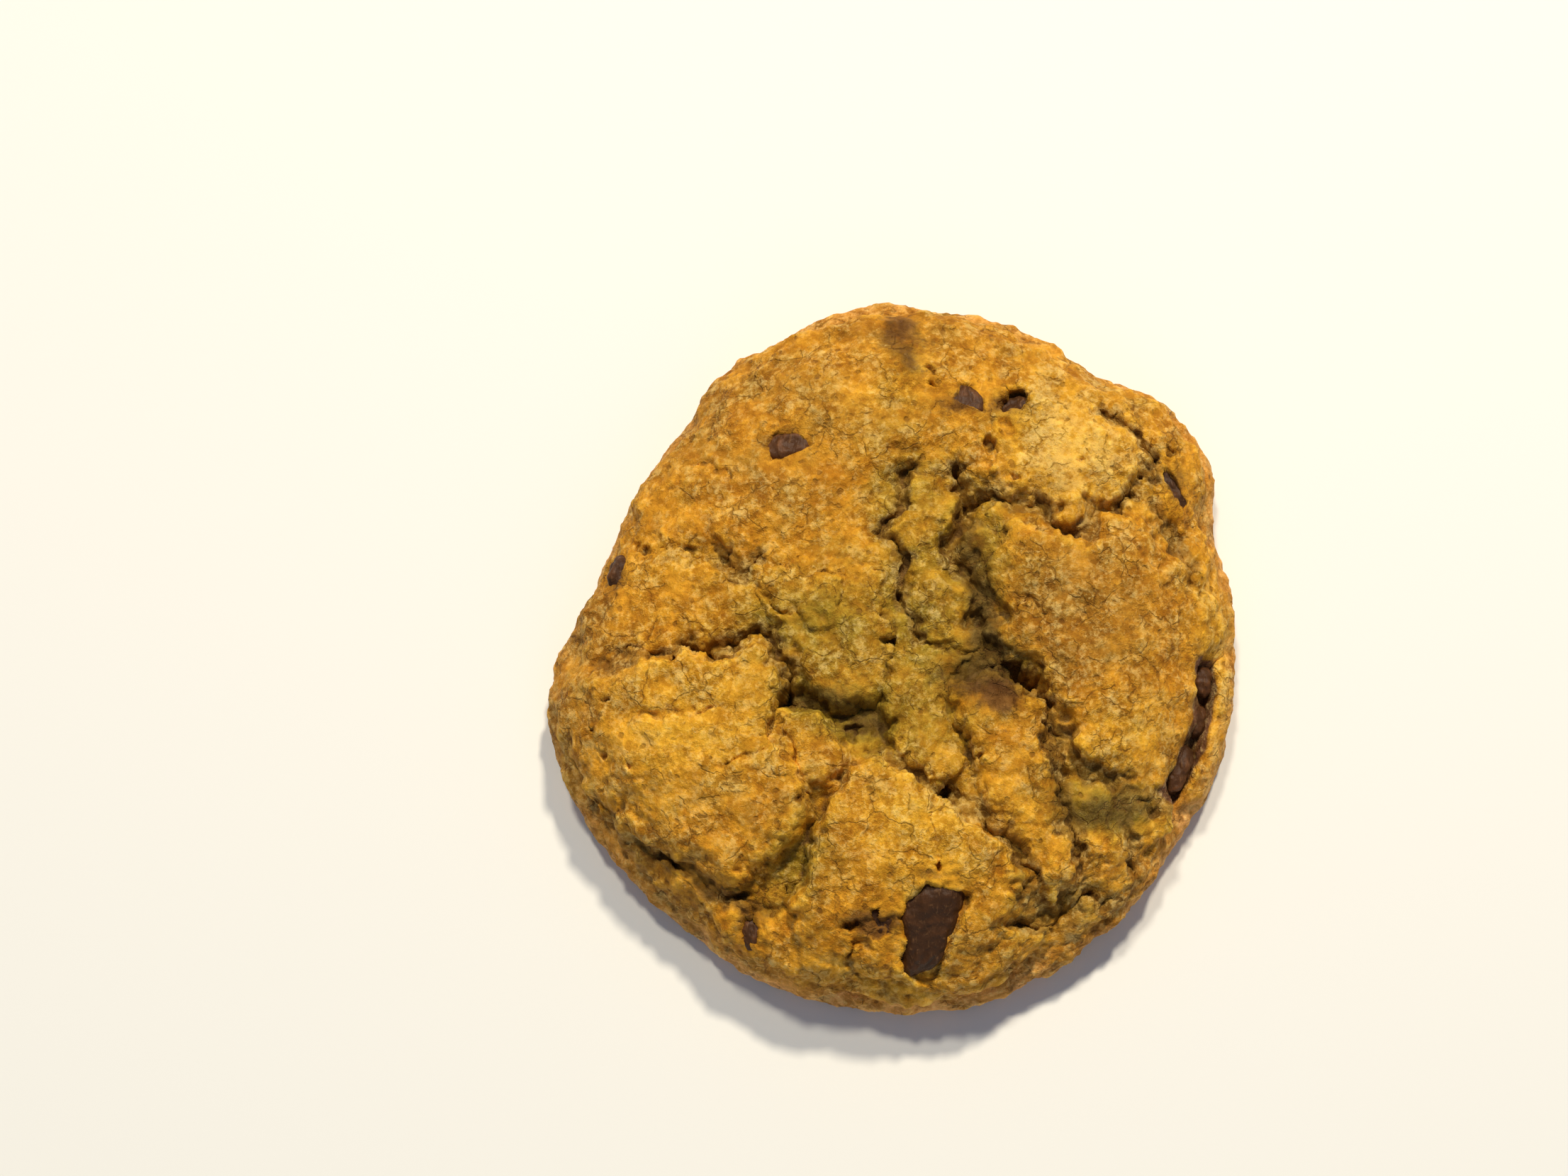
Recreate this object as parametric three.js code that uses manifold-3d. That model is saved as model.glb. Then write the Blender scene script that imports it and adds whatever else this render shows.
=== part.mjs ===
import * as THREE from 'three';
import { mergeVertices } from 'three/addons/utils/BufferGeometryUtils.js';
import Module from 'manifold-3d';

// A soft home-baked chocolate chip cookie lying on its flat bottom, in millimetres, Z up.
// One dough body carries the cracked crust as relief, and each chip that shows is a body of its own
// sitting in a pocket of the dough.

// Outer form of the cookie
const meanRadius = 38.5;
const outlineWaves = [
  [1, 0.87, 41],
  [2, 1.05, 127],
  [3, 0.47, -118],
  [4, 0.95, 50],
  [5, 0.25, -152],
  [6, 0.13, 66],
  [7, 0.31, -106],
];
// Where the dough spread more or less: middle angle, half width, reach
const bumps = [
  [39, 17, 3.5],
  [62, 26, 2.0],
  [97, 34, 1.7],
  [12, 24, -0.6],
  [298, 14, -0.8],
  [172, 18, -0.8],
];
const crownHeight = 15.2;
const crownFall = 4.4;
const crownRoll = 4.0;
// The middle sank as it cooled: place, reach in x and y, depth
const sunkMiddle = { at: [-1, 3], reach: [14, 15], depth: 1.2 };
const shoulderInset = 2.2;
const lipInset = 2.4;
const footHeight = 2.6;
// Where the base stands up outside the crust as a lip with a slot behind it: middle angle, half width, share
const lips = [
  [-14, 19, 1.0],
  [38, 20, 0.25],
];
// Folds in the wall: half width, depth, the line they follow as angle and height
const wallFolds = {
  skirtFold: { half: 0.9, deep: 1.1, line: [[259, 3.4], [263, 5.0], [275, 4.6], [287, 5.2], [297, 7.4], [304, 10.0]] },
  sideFold: { half: 0.8, deep: 0.8, line: [[318, 10.0], [326, 7.2], [334, 5.0]] },
  leftFold: { half: 0.9, deep: 0.7, line: [[196, 8.6], [207, 6.4], [222, 6.0], [236, 4.4]] },
  backFold: { half: 0.9, deep: 0.8, line: [[60, 9.0], [78, 6.4], [97, 6.8], [112, 4.6]] },
  farFold: { half: 0.8, deep: 0.7, line: [[128, 5.4], [143, 7.0], [158, 5.2]] },
};

// Share of the ball's surface that becomes the top and the wall, the rest is the bottom
const topShare = 0.67;
const wallShare = 0.3;
const doughDetail = 21;

const pocketGap = 0.3;

// The crust was laid out on a level plane, and sits a little nearer the front at its own height
const layoutShift = 0.6;

// Crust slabs: lift over the dome, softness of the edge, tilt per mm in x and y, corners
const slabs = {
  leftSlab: {
    lift: 1.5,
    soft: 0.9,
    tilt: [0.045, 0.01],
    ring: [[-37, -2], [-30, -0.8], [-23.5, 0.4], [-16, 1.2], [-12.9, -0.5], [-12.4, -5], [-14, -9.5],
      [-9.5, -15.5], [-10.5, -20.5], [-15, -23.5], [-19, -25], [-23, -22.5], [-29, -19], [-36, -14]],
  },
  lobe: {
    lift: 1.0,
    soft: 0.9,
    tilt: [0, 0],
    ring: [[-13, -9], [-9, -7.5], [-6, -9.5], [-5.3, -12], [-7, -14.5], [-10, -15], [-14, -12]],
  },
  centreSlab: {
    lift: 0.9,
    soft: 0.9,
    tilt: [0.01, -0.04],
    ring: [[-15, 9], [-8, 10], [-2, 9], [-1, 4], [-1.4, -4.4], [-4.5, -5], [-7, -4.5], [-10, -4], [-12, -2]],
  },
  innerColumn: {
    lift: 0.5,
    soft: 0.8,
    tilt: [-0.02, 0],
    ring: [[2, 20], [0.6, 16], [0.4, 13.4], [2.3, 10], [2.2, 5], [3, 1.5], [9, 1], [8.6, 7], [5.6, 11], [6.8, 20]],
  },
  midColumn: {
    lift: 0.5,
    soft: 0.8,
    tilt: [0, 0.02],
    ring: [[-0.4, 0.5], [8, 0], [5.4, -4.5], [5.4, -8], [7, -11.5], [5, -14.5], [2, -13], [0, -9.5], [-0.6, -5]],
  },
  frontSlab: {
    lift: 2.0,
    soft: 1.0,
    tilt: [-0.01, 0.01],
    ring: [[-7.8, -19], [-7, -16.5], [-4, -12.7], [-2, -11.8], [0.4, -13], [2, -15], [7, -16.9], [10, -19],
      [12, -21.5], [13.3, -25], [12.5, -30], [7, -34], [0, -36], [-9, -34.5], [-11.5, -27]],
  },
  rightColumn: {
    lift: 1.0,
    soft: 0.9,
    tilt: [0.02, 0.02],
    ring: [[6, -4.5], [12, -1.5], [15.2, -4.5], [16.4, -9], [16.4, -15], [18.8, -20], [19.6, -24], [16.5, -27],
      [14, -23], [12, -19], [9.5, -15], [7.3, -10]],
  },
  rightSlab: {
    lift: 1.2,
    soft: 1.1,
    tilt: [-0.03, 0.01],
    ring: [[17.5, -6], [16, -1], [12, 1.5], [11, 8], [12, 14], [18, 13.5], [21, 12.4], [23.5, 15.2], [27, 15],
      [30.5, 10], [31, -4], [30, -13.4], [25, -13.8], [22, -12.8], [19.5, -9]],
  },
  shinySlab: {
    lift: 1.1,
    soft: 1.0,
    tilt: [0, -0.03],
    ring: [[12, 19], [15.8, 17.8], [18, 15.7], [20, 14.8], [22, 17], [25.5, 19], [28, 22], [24, 28], [16, 31],
      [11, 27]],
  },
  backCrust: {
    lift: 0.5,
    soft: 2.0,
    tilt: [0, 0.01],
    ring: [[-27, 13.5], [-15, 12], [-3, 19], [4, 24], [8, 30], [4, 36], [-9, 34], [-20, 27]],
  },
  valley: {
    lift: -1.8,
    soft: 1.2,
    tilt: [0, 0],
    ring: [[-12, -3.5], [-9, -5.2], [-2, -5], [-0.5, -8], [0, -11.5], [-3.5, -12.5], [-5.5, -9], [-9, -7.5]],
  },
  trench: {
    lift: -1.5,
    soft: 1.2,
    tilt: [0, 0],
    ring: [[-4.5, -12.5], [-7.2, -17], [-8.2, -20], [-11.5, -27], [-14.5, -28.5], [-16.5, -26.5], [-10, -21.5],
      [-8.8, -16]],
  },
  moistHollow: {
    lift: -1.0,
    soft: 1.4,
    tilt: [0, 0],
    ring: [[18, -12], [22, -14.5], [29, -15.5], [28, -19], [22, -21], [18.5, -18]],
  },
};

// Cracks between the slabs: half width, depth and the line they follow
const cracks = {
  innerCrack: { half: 1.0, deep: 1.6, line: [[2, 20.5], [1, 17.5], [-1, 14.5], [1.5, 10.5], [1.3, 6.5], [2.8, 2]] },
  mainCrack: {
    half: 1.5,
    deep: 3.0,
    line: [[7, 21], [7.7, 16.5], [6.5, 11], [9.5, 7], [9, 4], [10.5, -1.5], [14, -2.6]],
  },
  mainCrackFoot: {
    half: 1.2,
    deep: 2.2,
    line: [[14, -2.6], [16.5, -6], [17.2, -11], [17, -15], [20.3, -22], [18, -27], [14, -29.5]],
  },
  shinyCrack: {
    half: 1.3,
    deep: 2.4,
    line: [[8, 16.8], [12, 18], [15.5, 17], [19, 13.8], [22, 14.6], [22.6, 16.8], [26, 18.7]],
  },
  shoulderCrack: { half: 1.0, deep: 1.4, line: [[29, 17.5], [30.3, 14.8], [31.5, 12.5], [33, 9]] },
  cornerFold: { half: 1.1, deep: 1.4, line: [[24.5, 28], [26.5, 25.5], [28, 22.8], [28.6, 20.5]] },
  farCrack: { half: 0.9, deep: 1.0, line: [[-28.3, 12.9], [-24, 12], [-19, 11], [-15, 9.8]] },
  leftCrack: {
    half: 1.2,
    deep: 2.0,
    line: [[-32, -1.5], [-27, -0.4], [-23, 1.7], [-20.5, 0.4], [-16.5, 2], [-13, 0.6], [-12, -4.5]],
  },
  valleyCrack: {
    half: 1.3,
    deep: 1.8,
    line: [[-12, -4.5], [-6, -6], [-2, -6], [-1.5, -10], [2, -14], [5.5, -15.3], [10.5, -18], [13.5, -22], [15, -27]],
  },
  leftFoot: { half: 1.3, deep: 1.8, line: [[-31, -17], [-27, -21.5], [-23, -23.5], [-19, -26.5], [-15, -27.5]] },
  columnSeam: { half: 0.9, deep: 0.9, line: [[5, -4.5], [5.4, -8], [7, -11], [9.3, -14]] },
  rightFoot: { half: 1.2, deep: 1.4, line: [[18.5, -9], [22, -14], [25, -15], [29, -15.4], [31, -14]] },
  frontFoot: { half: 1.2, deep: 1.6, line: [[20.3, -26.8], [19, -29.6], [17, -33.6], [15, -35.2]] },
  frontFootSide: { half: 0.8, deep: 1.4, line: [[14.2, -29.6], [17, -28.8], [20.3, -26.8], [22.7, -27.2]] },
  footLobe: { half: 0.8, deep: 1.0, line: [[-3.8, -31.6], [-5, -34], [-3.3, -35.8], [2.3, -37.4]] },
  sideFoot: { half: 1.1, deep: 1.3, line: [[25.5, -18], [26.4, -23], [23.5, -27]] },
};

// Single pits and one low bump: x, y, radius, depth
const pits = [
  [5.5, -15.3, 1.5, 1.6],
  [15.5, -3.4, 1.3, 1.6],
  [-24.3, -1, 1.2, 1.4],
  [25.8, -23, 1.3, 1.4],
  [9.5, 16.5, 1.8, 1.2],
  [13, 26, 1.6, 1.0],
  [-4, -8.2, 1.6, 0.8],
  [-11, -24, 2.2, 0.6],
  [-7.5, 5.5, 3.4, -0.9],
];

// Chips: middle on the layout, height of the middle, half sizes, turn about Z, lean outwards, squareness
const chips = {
  chip_front: { at: [4.2, -30.4], drop: 2.95, half: [3.5, 5.0, 2.9], turn: 6, lean: 26, power: 3.6, taper: 0.16, detail: 3 },
  chip_front_left: { at: [-1.9, -29.8], drop: 1.2, half: [2.3, 1.4, 1.6], turn: -14, lean: 8, power: 2.6, taper: 0 },
  chip_far_left: { at: [-11.7, 23.8], drop: 1.3, half: [2.8, 1.6, 1.7], turn: 4, lean: -4, power: 2.6, taper: 0 },
  chip_back_middle: { at: [8.4, 29.4], drop: 1.1, half: [2.5, 1.7, 1.5], turn: -38, lean: -8, power: 2.6, taper: 0 },
  chip_back_right: { at: [13.6, 29.1], drop: 1.7, half: [1.9, 1.8, 1.8], turn: 20, lean: -8, power: 2.6, taper: 0 },
  chip_right_back: { at: [31.3, 19.6], drop: 1.0, half: [2.6, 1.2, 1.4], turn: -64, lean: 0, power: 2.6, taper: 0 },
  chip_low_left: { at: [-15.6, -29.9], drop: 1.1, half: [1.5, 2.0, 1.7], turn: 24, lean: 20, power: 2.6, taper: 0 },
};

// Chips in the wall: angle about Z, distance from the middle, height, half sizes along, out and up
const wallChips = {
  chip_right_upper: { angle: -4, reach: 34.4, height: 6.3, half: [1.7, 1.2, 1.3], detail: 1 },
  chip_right_middle: { angle: -11.5, reach: 34.0, height: 6.2, half: [1.8, 1.2, 1.4], detail: 1 },
  chip_right_lower: { angle: -21, reach: 33.7, height: 6.3, half: [2.8, 1.2, 1.6], detail: 2 },
  chip_left_upper: { angle: 163, reach: 32.1, height: 9.2, half: [2.1, 1.3, 1.5], detail: 1 },
};

const degree = Math.PI / 180;

function smooth(low, high, value) {
  const t = Math.min(Math.max((value - low) / (high - low), 0), 1);
  return t * t * (3 - 2 * t);
}

// Gradient noise from a whole-number hash, the same on each run
function hashOf(x, y, z, seed) {
  let h = Math.imul(x, 374761393) + Math.imul(y, 668265263) + Math.imul(z, 2147483647) + Math.imul(seed, 974634777);
  h = Math.imul(h ^ (h >>> 13), 1274126177);
  h = Math.imul(h ^ (h >>> 16), 2246822519);
  return (h ^ (h >>> 15)) >>> 0;
}

function cornerSlope(ix, iy, iz, seed, x, y, z) {
  const h = hashOf(ix, iy, iz, seed) & 15;
  const u = h < 8 ? x : y;
  const v = h < 4 ? y : h === 12 || h === 14 ? x : z;
  return (h & 1 ? -u : u) + (h & 2 ? -v : v);
}

function noise(x, y, z, seed) {
  const ix = Math.floor(x);
  const iy = Math.floor(y);
  const iz = Math.floor(z);
  const fx = x - ix;
  const fy = y - iy;
  const fz = z - iz;
  const ease = (t) => t * t * t * (t * (t * 6 - 15) + 10);
  const [ex, ey, ez] = [ease(fx), ease(fy), ease(fz)];
  let sum = 0;
  for (let corner = 0; corner < 8; corner++) {
    const cx = corner & 1;
    const cy = (corner >> 1) & 1;
    const cz = (corner >> 2) & 1;
    const weight = (cx ? ex : 1 - ex) * (cy ? ey : 1 - ey) * (cz ? ez : 1 - ez);
    sum += weight * cornerSlope(ix + cx, iy + cy, iz + cz, seed, fx - cx, fy - cy, fz - cz);
  }
  return sum;
}

function lineDistance(x, y, line) {
  let best = 1e9;
  for (let i = 0; i + 1 < line.length; i++) {
    const [ax, ay] = line[i];
    const [bx, by] = line[i + 1];
    const dx = bx - ax;
    const dy = by - ay;
    const t = Math.min(Math.max(((x - ax) * dx + (y - ay) * dy) / (dx * dx + dy * dy), 0), 1);
    best = Math.min(best, Math.hypot(x - ax - t * dx, y - ay - t * dy));
  }
  return best;
}

// Distance to a closed ring, counted positive inside it
function insideDistance(x, y, ring) {
  let inside = false;
  for (let i = 0, j = ring.length - 1; i < ring.length; j = i++) {
    const [ax, ay] = ring[i];
    const [bx, by] = ring[j];
    if (ay > y !== by > y && x < ((bx - ax) * (y - ay)) / (by - ay) + ax) inside = !inside;
  }
  const away = lineDistance(x, y, [...ring, ring[0]]);
  return inside ? away : -away;
}

function ringMiddle(ring) {
  const sum = ring.reduce((total, [x, y]) => [total[0] + x, total[1] + y], [0, 0]);
  return [sum[0] / ring.length, sum[1] / ring.length];
}

// Outline and wall
function angleBetween(a, b) {
  return Math.abs(Math.atan2(Math.sin(a - b), Math.cos(a - b)));
}

function outline(angle) {
  let reach = meanRadius;
  for (const [middle, half, size] of bumps) {
    reach += size * (1 - smooth(0.25 * half * degree, half * degree, angleBetween(angle, middle * degree)));
  }
  for (const [k, size, phase] of outlineWaves) reach += size * Math.cos(k * angle - phase * degree);
  return reach;
}

function lipAt(angle) {
  let share = 0;
  for (const [middle, half, size] of lips) {
    const away = angleBetween(angle, middle * degree);
    share = Math.max(share, size * (1 - smooth(half * 0.45 * degree, half * degree, away)));
  }
  return share;
}

function shoulderReach(angle) {
  return outline(angle) - shoulderInset - lipInset * lipAt(angle) - 1.8;
}

function crown(share) {
  return crownHeight - crownFall * share ** crownRoll;
}

// Wall from the shoulder down to the foot, as distance in from the outline and height
function wallStations(angle) {
  const lip = lipAt(angle);
  const inset = shoulderInset + lipInset * lip;
  return [
    [inset + 3.4, crown(0.95)],
    [inset + 1.8, crown(1)],
    [inset + 0.7, crown(1) - 1.0],
    [inset - 0.2, 8.4 - 1.4 * lip],
    [1.1 + 2.5 * lip, 6.5 - 0.7 * lip],
    [0.4 + 1.9 * lip, 5.2 + 1.9 * lip],
    [0.1 + 0.7 * lip, 4.0 + 1.8 * lip],
    [0, footHeight],
    [0.5, 1.0],
    [1.5, -0.6],
    [2.6, -1.6],
  ];
}

function alongStations(stations, share) {
  const place = 1 + share * (stations.length - 3);
  const i = Math.min(Math.floor(place), stations.length - 3);
  const t = place - i;
  const blend = (axis) => {
    const [a, b, c, d] = [stations[i - 1][axis], stations[i][axis], stations[i + 1][axis], stations[i + 2][axis]];
    return 0.5 * (2 * b + (c - a) * t + (2 * a - 5 * b + 4 * c - d) * t * t + (3 * b - a - 3 * c + d) * t ** 3);
  };
  return [blend(0), blend(1)];
}

// Relief of the crust over the smooth dome
function relief(x, yTrue) {
  const y = yTrue + layoutShift;
  const wx = x + 1.1 * noise(x / 4.5, y / 4.5, 0.5, 11);
  const wy = y + 1.1 * noise(x / 4.5, y / 4.5, 7.5, 13);
  const [sx, sy] = [(x - sunkMiddle.at[0]) / sunkMiddle.reach[0], (y - sunkMiddle.at[1]) / sunkMiddle.reach[1]];
  let height = -sunkMiddle.depth * Math.exp(-sx * sx - sy * sy);
  // Slabs round over at their own edges and flatten out towards the shoulder
  const inland = smooth(-1, 4, shoulderReach(Math.atan2(yTrue, x)) - Math.hypot(x, yTrue));
  for (const slab of Object.values(slabs)) {
    const [mx, my] = ringMiddle(slab.ring);
    const inside = insideDistance(wx, wy, slab.ring);
    const share = smooth(-1.2 * slab.soft, 1.2 * slab.soft, inside) * (0.6 + 0.4 * smooth(0, 4, inside));
    height += share * (0.45 + 0.55 * inland) * (slab.lift + slab.tilt[0] * (x - mx) + slab.tilt[1] * (y - my));
  }
  // Cracks open and close along their length
  const open = Math.min(Math.max(0.85 + 0.9 * noise(x / 3.5, y / 3.5, 5.5, 41), 0.35), 1.25);
  for (const crack of Object.values(cracks)) {
    const away = lineDistance(wx, wy, crack.line);
    height -= crack.deep * Math.min(open + 0.15, 1) * (1 - smooth(0, crack.half * 1.8 * open, away));
  }
  for (const [px, py, radius, deep] of pits) {
    const away = Math.hypot(wx - px, wy - py);
    height -= deep * (1 - smooth(radius * 0.3, radius * 1.25, away));
  }
  height += 0.75 * noise(x / 8, y / 8, 1.5, 21);
  height += 0.5 * noise(x / 3.6, y / 3.6, 2.5, 22);
  return height;
}

function topHeight(x, y) {
  const angle = Math.atan2(y, x);
  const share = Math.min(Math.hypot(x, y) / shoulderReach(angle), 1);
  return crown(share) + relief(x, y);
}

// A point of the dough from a direction on the ball
function doughPoint(direction) {
  const share = (1 - direction.z) / 2;
  const angle = Math.atan2(direction.y, direction.x);
  const c = Math.cos(angle);
  const s = Math.sin(angle);
  if (share <= topShare) {
    const reach = shoulderReach(angle) * Math.sqrt(share / topShare);
    return new THREE.Vector3(reach * c, reach * s, topHeight(reach * c, reach * s));
  }
  if (share > topShare + wallShare) {
    const reach = (outline(angle) - 2.6) * Math.sqrt(Math.max(1 - share, 0) / (1 - topShare - wallShare));
    return new THREE.Vector3(reach * c, reach * s, -1.6);
  }
  const down = (share - topShare) / wallShare;
  const [inset, height] = alongStations(wallStations(angle), down);
  const reach = outline(angle) - inset;
  const x = reach * c;
  const y = reach * s;
  const fade = 1 - smooth(0, 0.4, down);
  const held = smooth(0, 0.2, down) * (1 - smooth(0.85, 1, down));
  const calm = 1 - 0.65 * smooth(0.4, 0.7, down);
  let rough = calm * (1.3 * noise(x / 7, y / 7, height / 6, 31) + 0.7 * noise(x / 3.2, y / 3.2, height / 3, 32));
  const along = ((angle / degree + 360) % 360) * 0.66;
  for (const fold of Object.values(wallFolds)) {
    const away = lineDistance(along, height, fold.line.map(([turn, level]) => [turn * 0.66, level]));
    rough -= fold.deep * (1 - smooth(0, 2.2 * fold.half, away));
  }
  return new THREE.Vector3(
    x + c * held * rough,
    y + s * held * rough,
    height + fade * relief(x, y) + held * 0.5 * noise(x / 5, y / 5, height / 4, 33),
  );
}

function closedBall(detail, place) {
  const ball = new THREE.IcosahedronGeometry(1, detail);
  ball.deleteAttribute('normal');
  ball.deleteAttribute('uv');
  const geometry = mergeVertices(ball, 1e-4);
  const position = geometry.getAttribute('position');
  const direction = new THREE.Vector3();
  for (let i = 0; i < position.count; i++) {
    direction.fromBufferAttribute(position, i).normalize();
    const point = place(direction);
    position.setXYZ(i, point.x, point.y, point.z);
  }
  return geometry;
}

// A chip: a rounded lump with flattened faces, grown by the pocket gap when it is used as a cutter
function chipGeometry(chip, seed, grow) {
  const turned = new THREE.Matrix4().makeRotationZ((chip.turn ?? 0) * degree);
  const leaned = new THREE.Matrix4().makeRotationX((chip.lean ?? 0) * degree);
  const power = chip.power ?? 2.5;
  const [sx, sy, sz] = chip.half;
  return closedBall(chip.detail ?? 2, (d) => {
    const size = (Math.abs(d.x) ** power + Math.abs(d.y) ** power + Math.abs(d.z) ** power) ** (-1 / power);
    const uneven = 1 + 0.22 * noise(d.x * 1.3, d.y * 1.3, d.z * 1.3, seed);
    const point = new THREE.Vector3(d.x, d.y, d.z).multiplyScalar(size * uneven);
    point.x *= 1 + (chip.taper ?? 0) * point.y;
    const across = new THREE.Vector3(point.x * sx, point.y * sy, point.z * sz);
    const out = new THREE.Vector3(point.x / sx, point.y / sy, point.z / sz).normalize();
    across.addScaledVector(out, grow);
    return across.applyMatrix4(turned).applyMatrix4(leaned).add(chip.middle);
  });
}

function placedChips() {
  const placed = {};
  for (const [name, chip] of Object.entries(chips)) {
    const [x, y] = [chip.at[0], chip.at[1] - layoutShift];
    const height = crown(Math.min(Math.hypot(x, y) / shoulderReach(Math.atan2(y, x)), 1)) + smoothRelief(x, y);
    placed[name] = { ...chip, middle: new THREE.Vector3(x, y, height - chip.drop) };
  }
  for (const [name, chip] of Object.entries(wallChips)) {
    const angle = chip.angle * degree;
    placed[name] = {
      ...chip,
      turn: chip.angle + 90,
      middle: new THREE.Vector3(chip.reach * Math.cos(angle), chip.reach * Math.sin(angle), chip.height),
    };
  }
  return placed;
}

// Mean height of the relief round a point, so that one pit doesn't drop a chip
function smoothRelief(x, y) {
  let sum = 0;
  for (let i = 0; i < 8; i++) sum += relief(x + 1.6 * Math.cos(i * 45 * degree), y + 1.6 * Math.sin(i * 45 * degree));
  return sum / 8;
}

const wasm = await Module();
wasm.setup();

function solidOf(geometry) {
  return new wasm.Manifold(
    new wasm.Mesh({
      numProp: 3,
      vertProperties: new Float32Array(geometry.getAttribute('position').array),
      triVerts: new Uint32Array(geometry.getIndex().array),
    }),
  );
}

function geometryOf(solid) {
  const mesh = solid.getMesh();
  const geometry = new THREE.BufferGeometry();
  geometry.setAttribute('position', new THREE.BufferAttribute(new Float32Array(mesh.vertProperties), 3));
  geometry.setIndex(new THREE.BufferAttribute(new Uint32Array(mesh.triVerts), 1));
  geometry.computeVertexNormals();
  return geometry;
}

const doughMaterial = new THREE.MeshStandardMaterial({ name: 'dough', color: 0xc98f36, roughness: 0.75 });
const chocolateMaterial = new THREE.MeshStandardMaterial({ name: 'chocolate', color: 0x46290f, roughness: 0.45 });

const group = new THREE.Group();
group.name = 'chocolate_chip_cookie';

// The space above the resting plane
const above = new THREE.BoxGeometry(120, 120, 60).translate(0, 0, 30);
above.deleteAttribute('normal');
above.deleteAttribute('uv');

let dough = solidOf(closedBall(doughDetail, doughPoint)).intersect(solidOf(mergeVertices(above)));
const all = Object.entries(placedChips());
all.forEach(([name, chip], index) => {
  const seed = 50 + index;
  dough = dough.subtract(solidOf(chipGeometry(chip, seed, pocketGap)));
  const mesh = new THREE.Mesh(chipGeometry(chip, seed, 0), chocolateMaterial);
  mesh.name = name;
  group.add(mesh);
});
const bodies = dough.decompose();
dough = bodies.reduce((largest, body) => (body.volume() > largest.volume() ? body : largest));

const cookie = new THREE.Mesh(geometryOf(dough), doughMaterial);
cookie.name = 'cookie';
group.add(cookie);

export default group;
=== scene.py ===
import math
import bpy
import numpy as np
from mathutils import Matrix, Vector


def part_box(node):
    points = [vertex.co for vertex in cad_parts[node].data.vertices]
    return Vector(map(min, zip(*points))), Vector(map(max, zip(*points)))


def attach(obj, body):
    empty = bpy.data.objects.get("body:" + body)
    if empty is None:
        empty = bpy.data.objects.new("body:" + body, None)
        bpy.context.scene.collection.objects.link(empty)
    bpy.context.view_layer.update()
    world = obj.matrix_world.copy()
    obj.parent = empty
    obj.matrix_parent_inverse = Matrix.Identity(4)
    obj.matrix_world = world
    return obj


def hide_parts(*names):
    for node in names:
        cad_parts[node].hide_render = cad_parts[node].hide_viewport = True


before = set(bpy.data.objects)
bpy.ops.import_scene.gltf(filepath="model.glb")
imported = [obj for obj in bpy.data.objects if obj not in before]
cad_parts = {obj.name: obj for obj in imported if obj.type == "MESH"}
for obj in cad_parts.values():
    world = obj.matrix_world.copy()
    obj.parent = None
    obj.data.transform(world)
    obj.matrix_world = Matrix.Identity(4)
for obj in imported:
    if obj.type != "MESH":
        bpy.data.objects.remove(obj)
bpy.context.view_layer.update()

mm = 0.001


# Noise that is the same on each run

# Large odd numbers that scatter the bits, and how many bits are kept
scatter = {"x": 374761393, "y": 668265263, "z": 2147483647, "seed": 974634777, "first": 1274126177,
           "second": 2246822519, "kept": 0xFFFFFFFF}


def hashOf(ix, iy, iz, seed):
    by = {name: np.uint64(value) for name, value in scatter.items()}
    ix, iy, iz = (a.astype(np.int64).astype(np.uint64) & by["kept"] for a in (ix, iy, iz))
    h = (ix * by["x"] + iy * by["y"] + iz * by["z"]) & by["kept"]
    h = (h + np.uint64(seed * scatter["seed"] & scatter["kept"])) & by["kept"]
    h = ((h ^ (h >> np.uint64(13))) * by["first"]) & by["kept"]
    h = ((h ^ (h >> np.uint64(16))) * by["second"]) & by["kept"]
    return h ^ (h >> np.uint64(15))


def noise(x, y, z, seed):
    x, y, z = np.broadcast_arrays(*(np.asarray(a, float) for a in (x, y, z)))
    ix, iy, iz = np.floor(x), np.floor(y), np.floor(z)
    fx, fy, fz = x - ix, y - iy, z - iz
    ex, ey, ez = (t * t * t * (t * (t * 6 - 15) + 10) for t in (fx, fy, fz))
    total = np.zeros_like(x)
    for corner in range(8):
        cx, cy, cz = corner & 1, corner >> 1 & 1, corner >> 2 & 1
        weight = (ex if cx else 1 - ex) * (ey if cy else 1 - ey) * (ez if cz else 1 - ez)
        h = hashOf(ix + cx, iy + cy, iz + cz, seed) & np.uint64(15)
        px, py, pz = fx - cx, fy - cy, fz - cz
        u = np.where(h < 8, px, py)
        v = np.where(h < 4, py, np.where((h == 12) | (h == 14), px, pz))
        total += weight * (np.where(h & np.uint64(1), -u, u) + np.where(h & np.uint64(2), -v, v))
    return total


# Round lumps that meet in creases
lumpShape = {"steps": 1023, "reach": 0.35}  # steps of a lump's place in its cell, and its radius squared


def grains(x, y, z, size, seed):
    steps = lumpShape["steps"]
    x, y, z = x / size, y / size, z / size
    ix, iy, iz = np.floor(x), np.floor(y), np.floor(z)
    nearest = np.full(np.shape(x), 9.0)
    for step in range(27):
        cx, cy, cz = ix + step % 3 - 1, iy + step // 3 % 3 - 1, iz + step // 9 - 1
        h = hashOf(cx, cy, cz, seed).astype(np.int64)
        gap = [cell + (h >> shift & steps) / steps - at
               for cell, shift, at in ((cx, 0, x), (cy, 10, y), (cz, 20, z))]
        nearest = np.minimum(nearest, gap[0] ** 2 + gap[1] ** 2 + gap[2] ** 2)
    return lumpShape["reach"] - nearest


def smooth(low, high, value):
    t = np.clip((value - low) / (high - low), 0, 1)
    return t * t * (3 - 2 * t)


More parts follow.
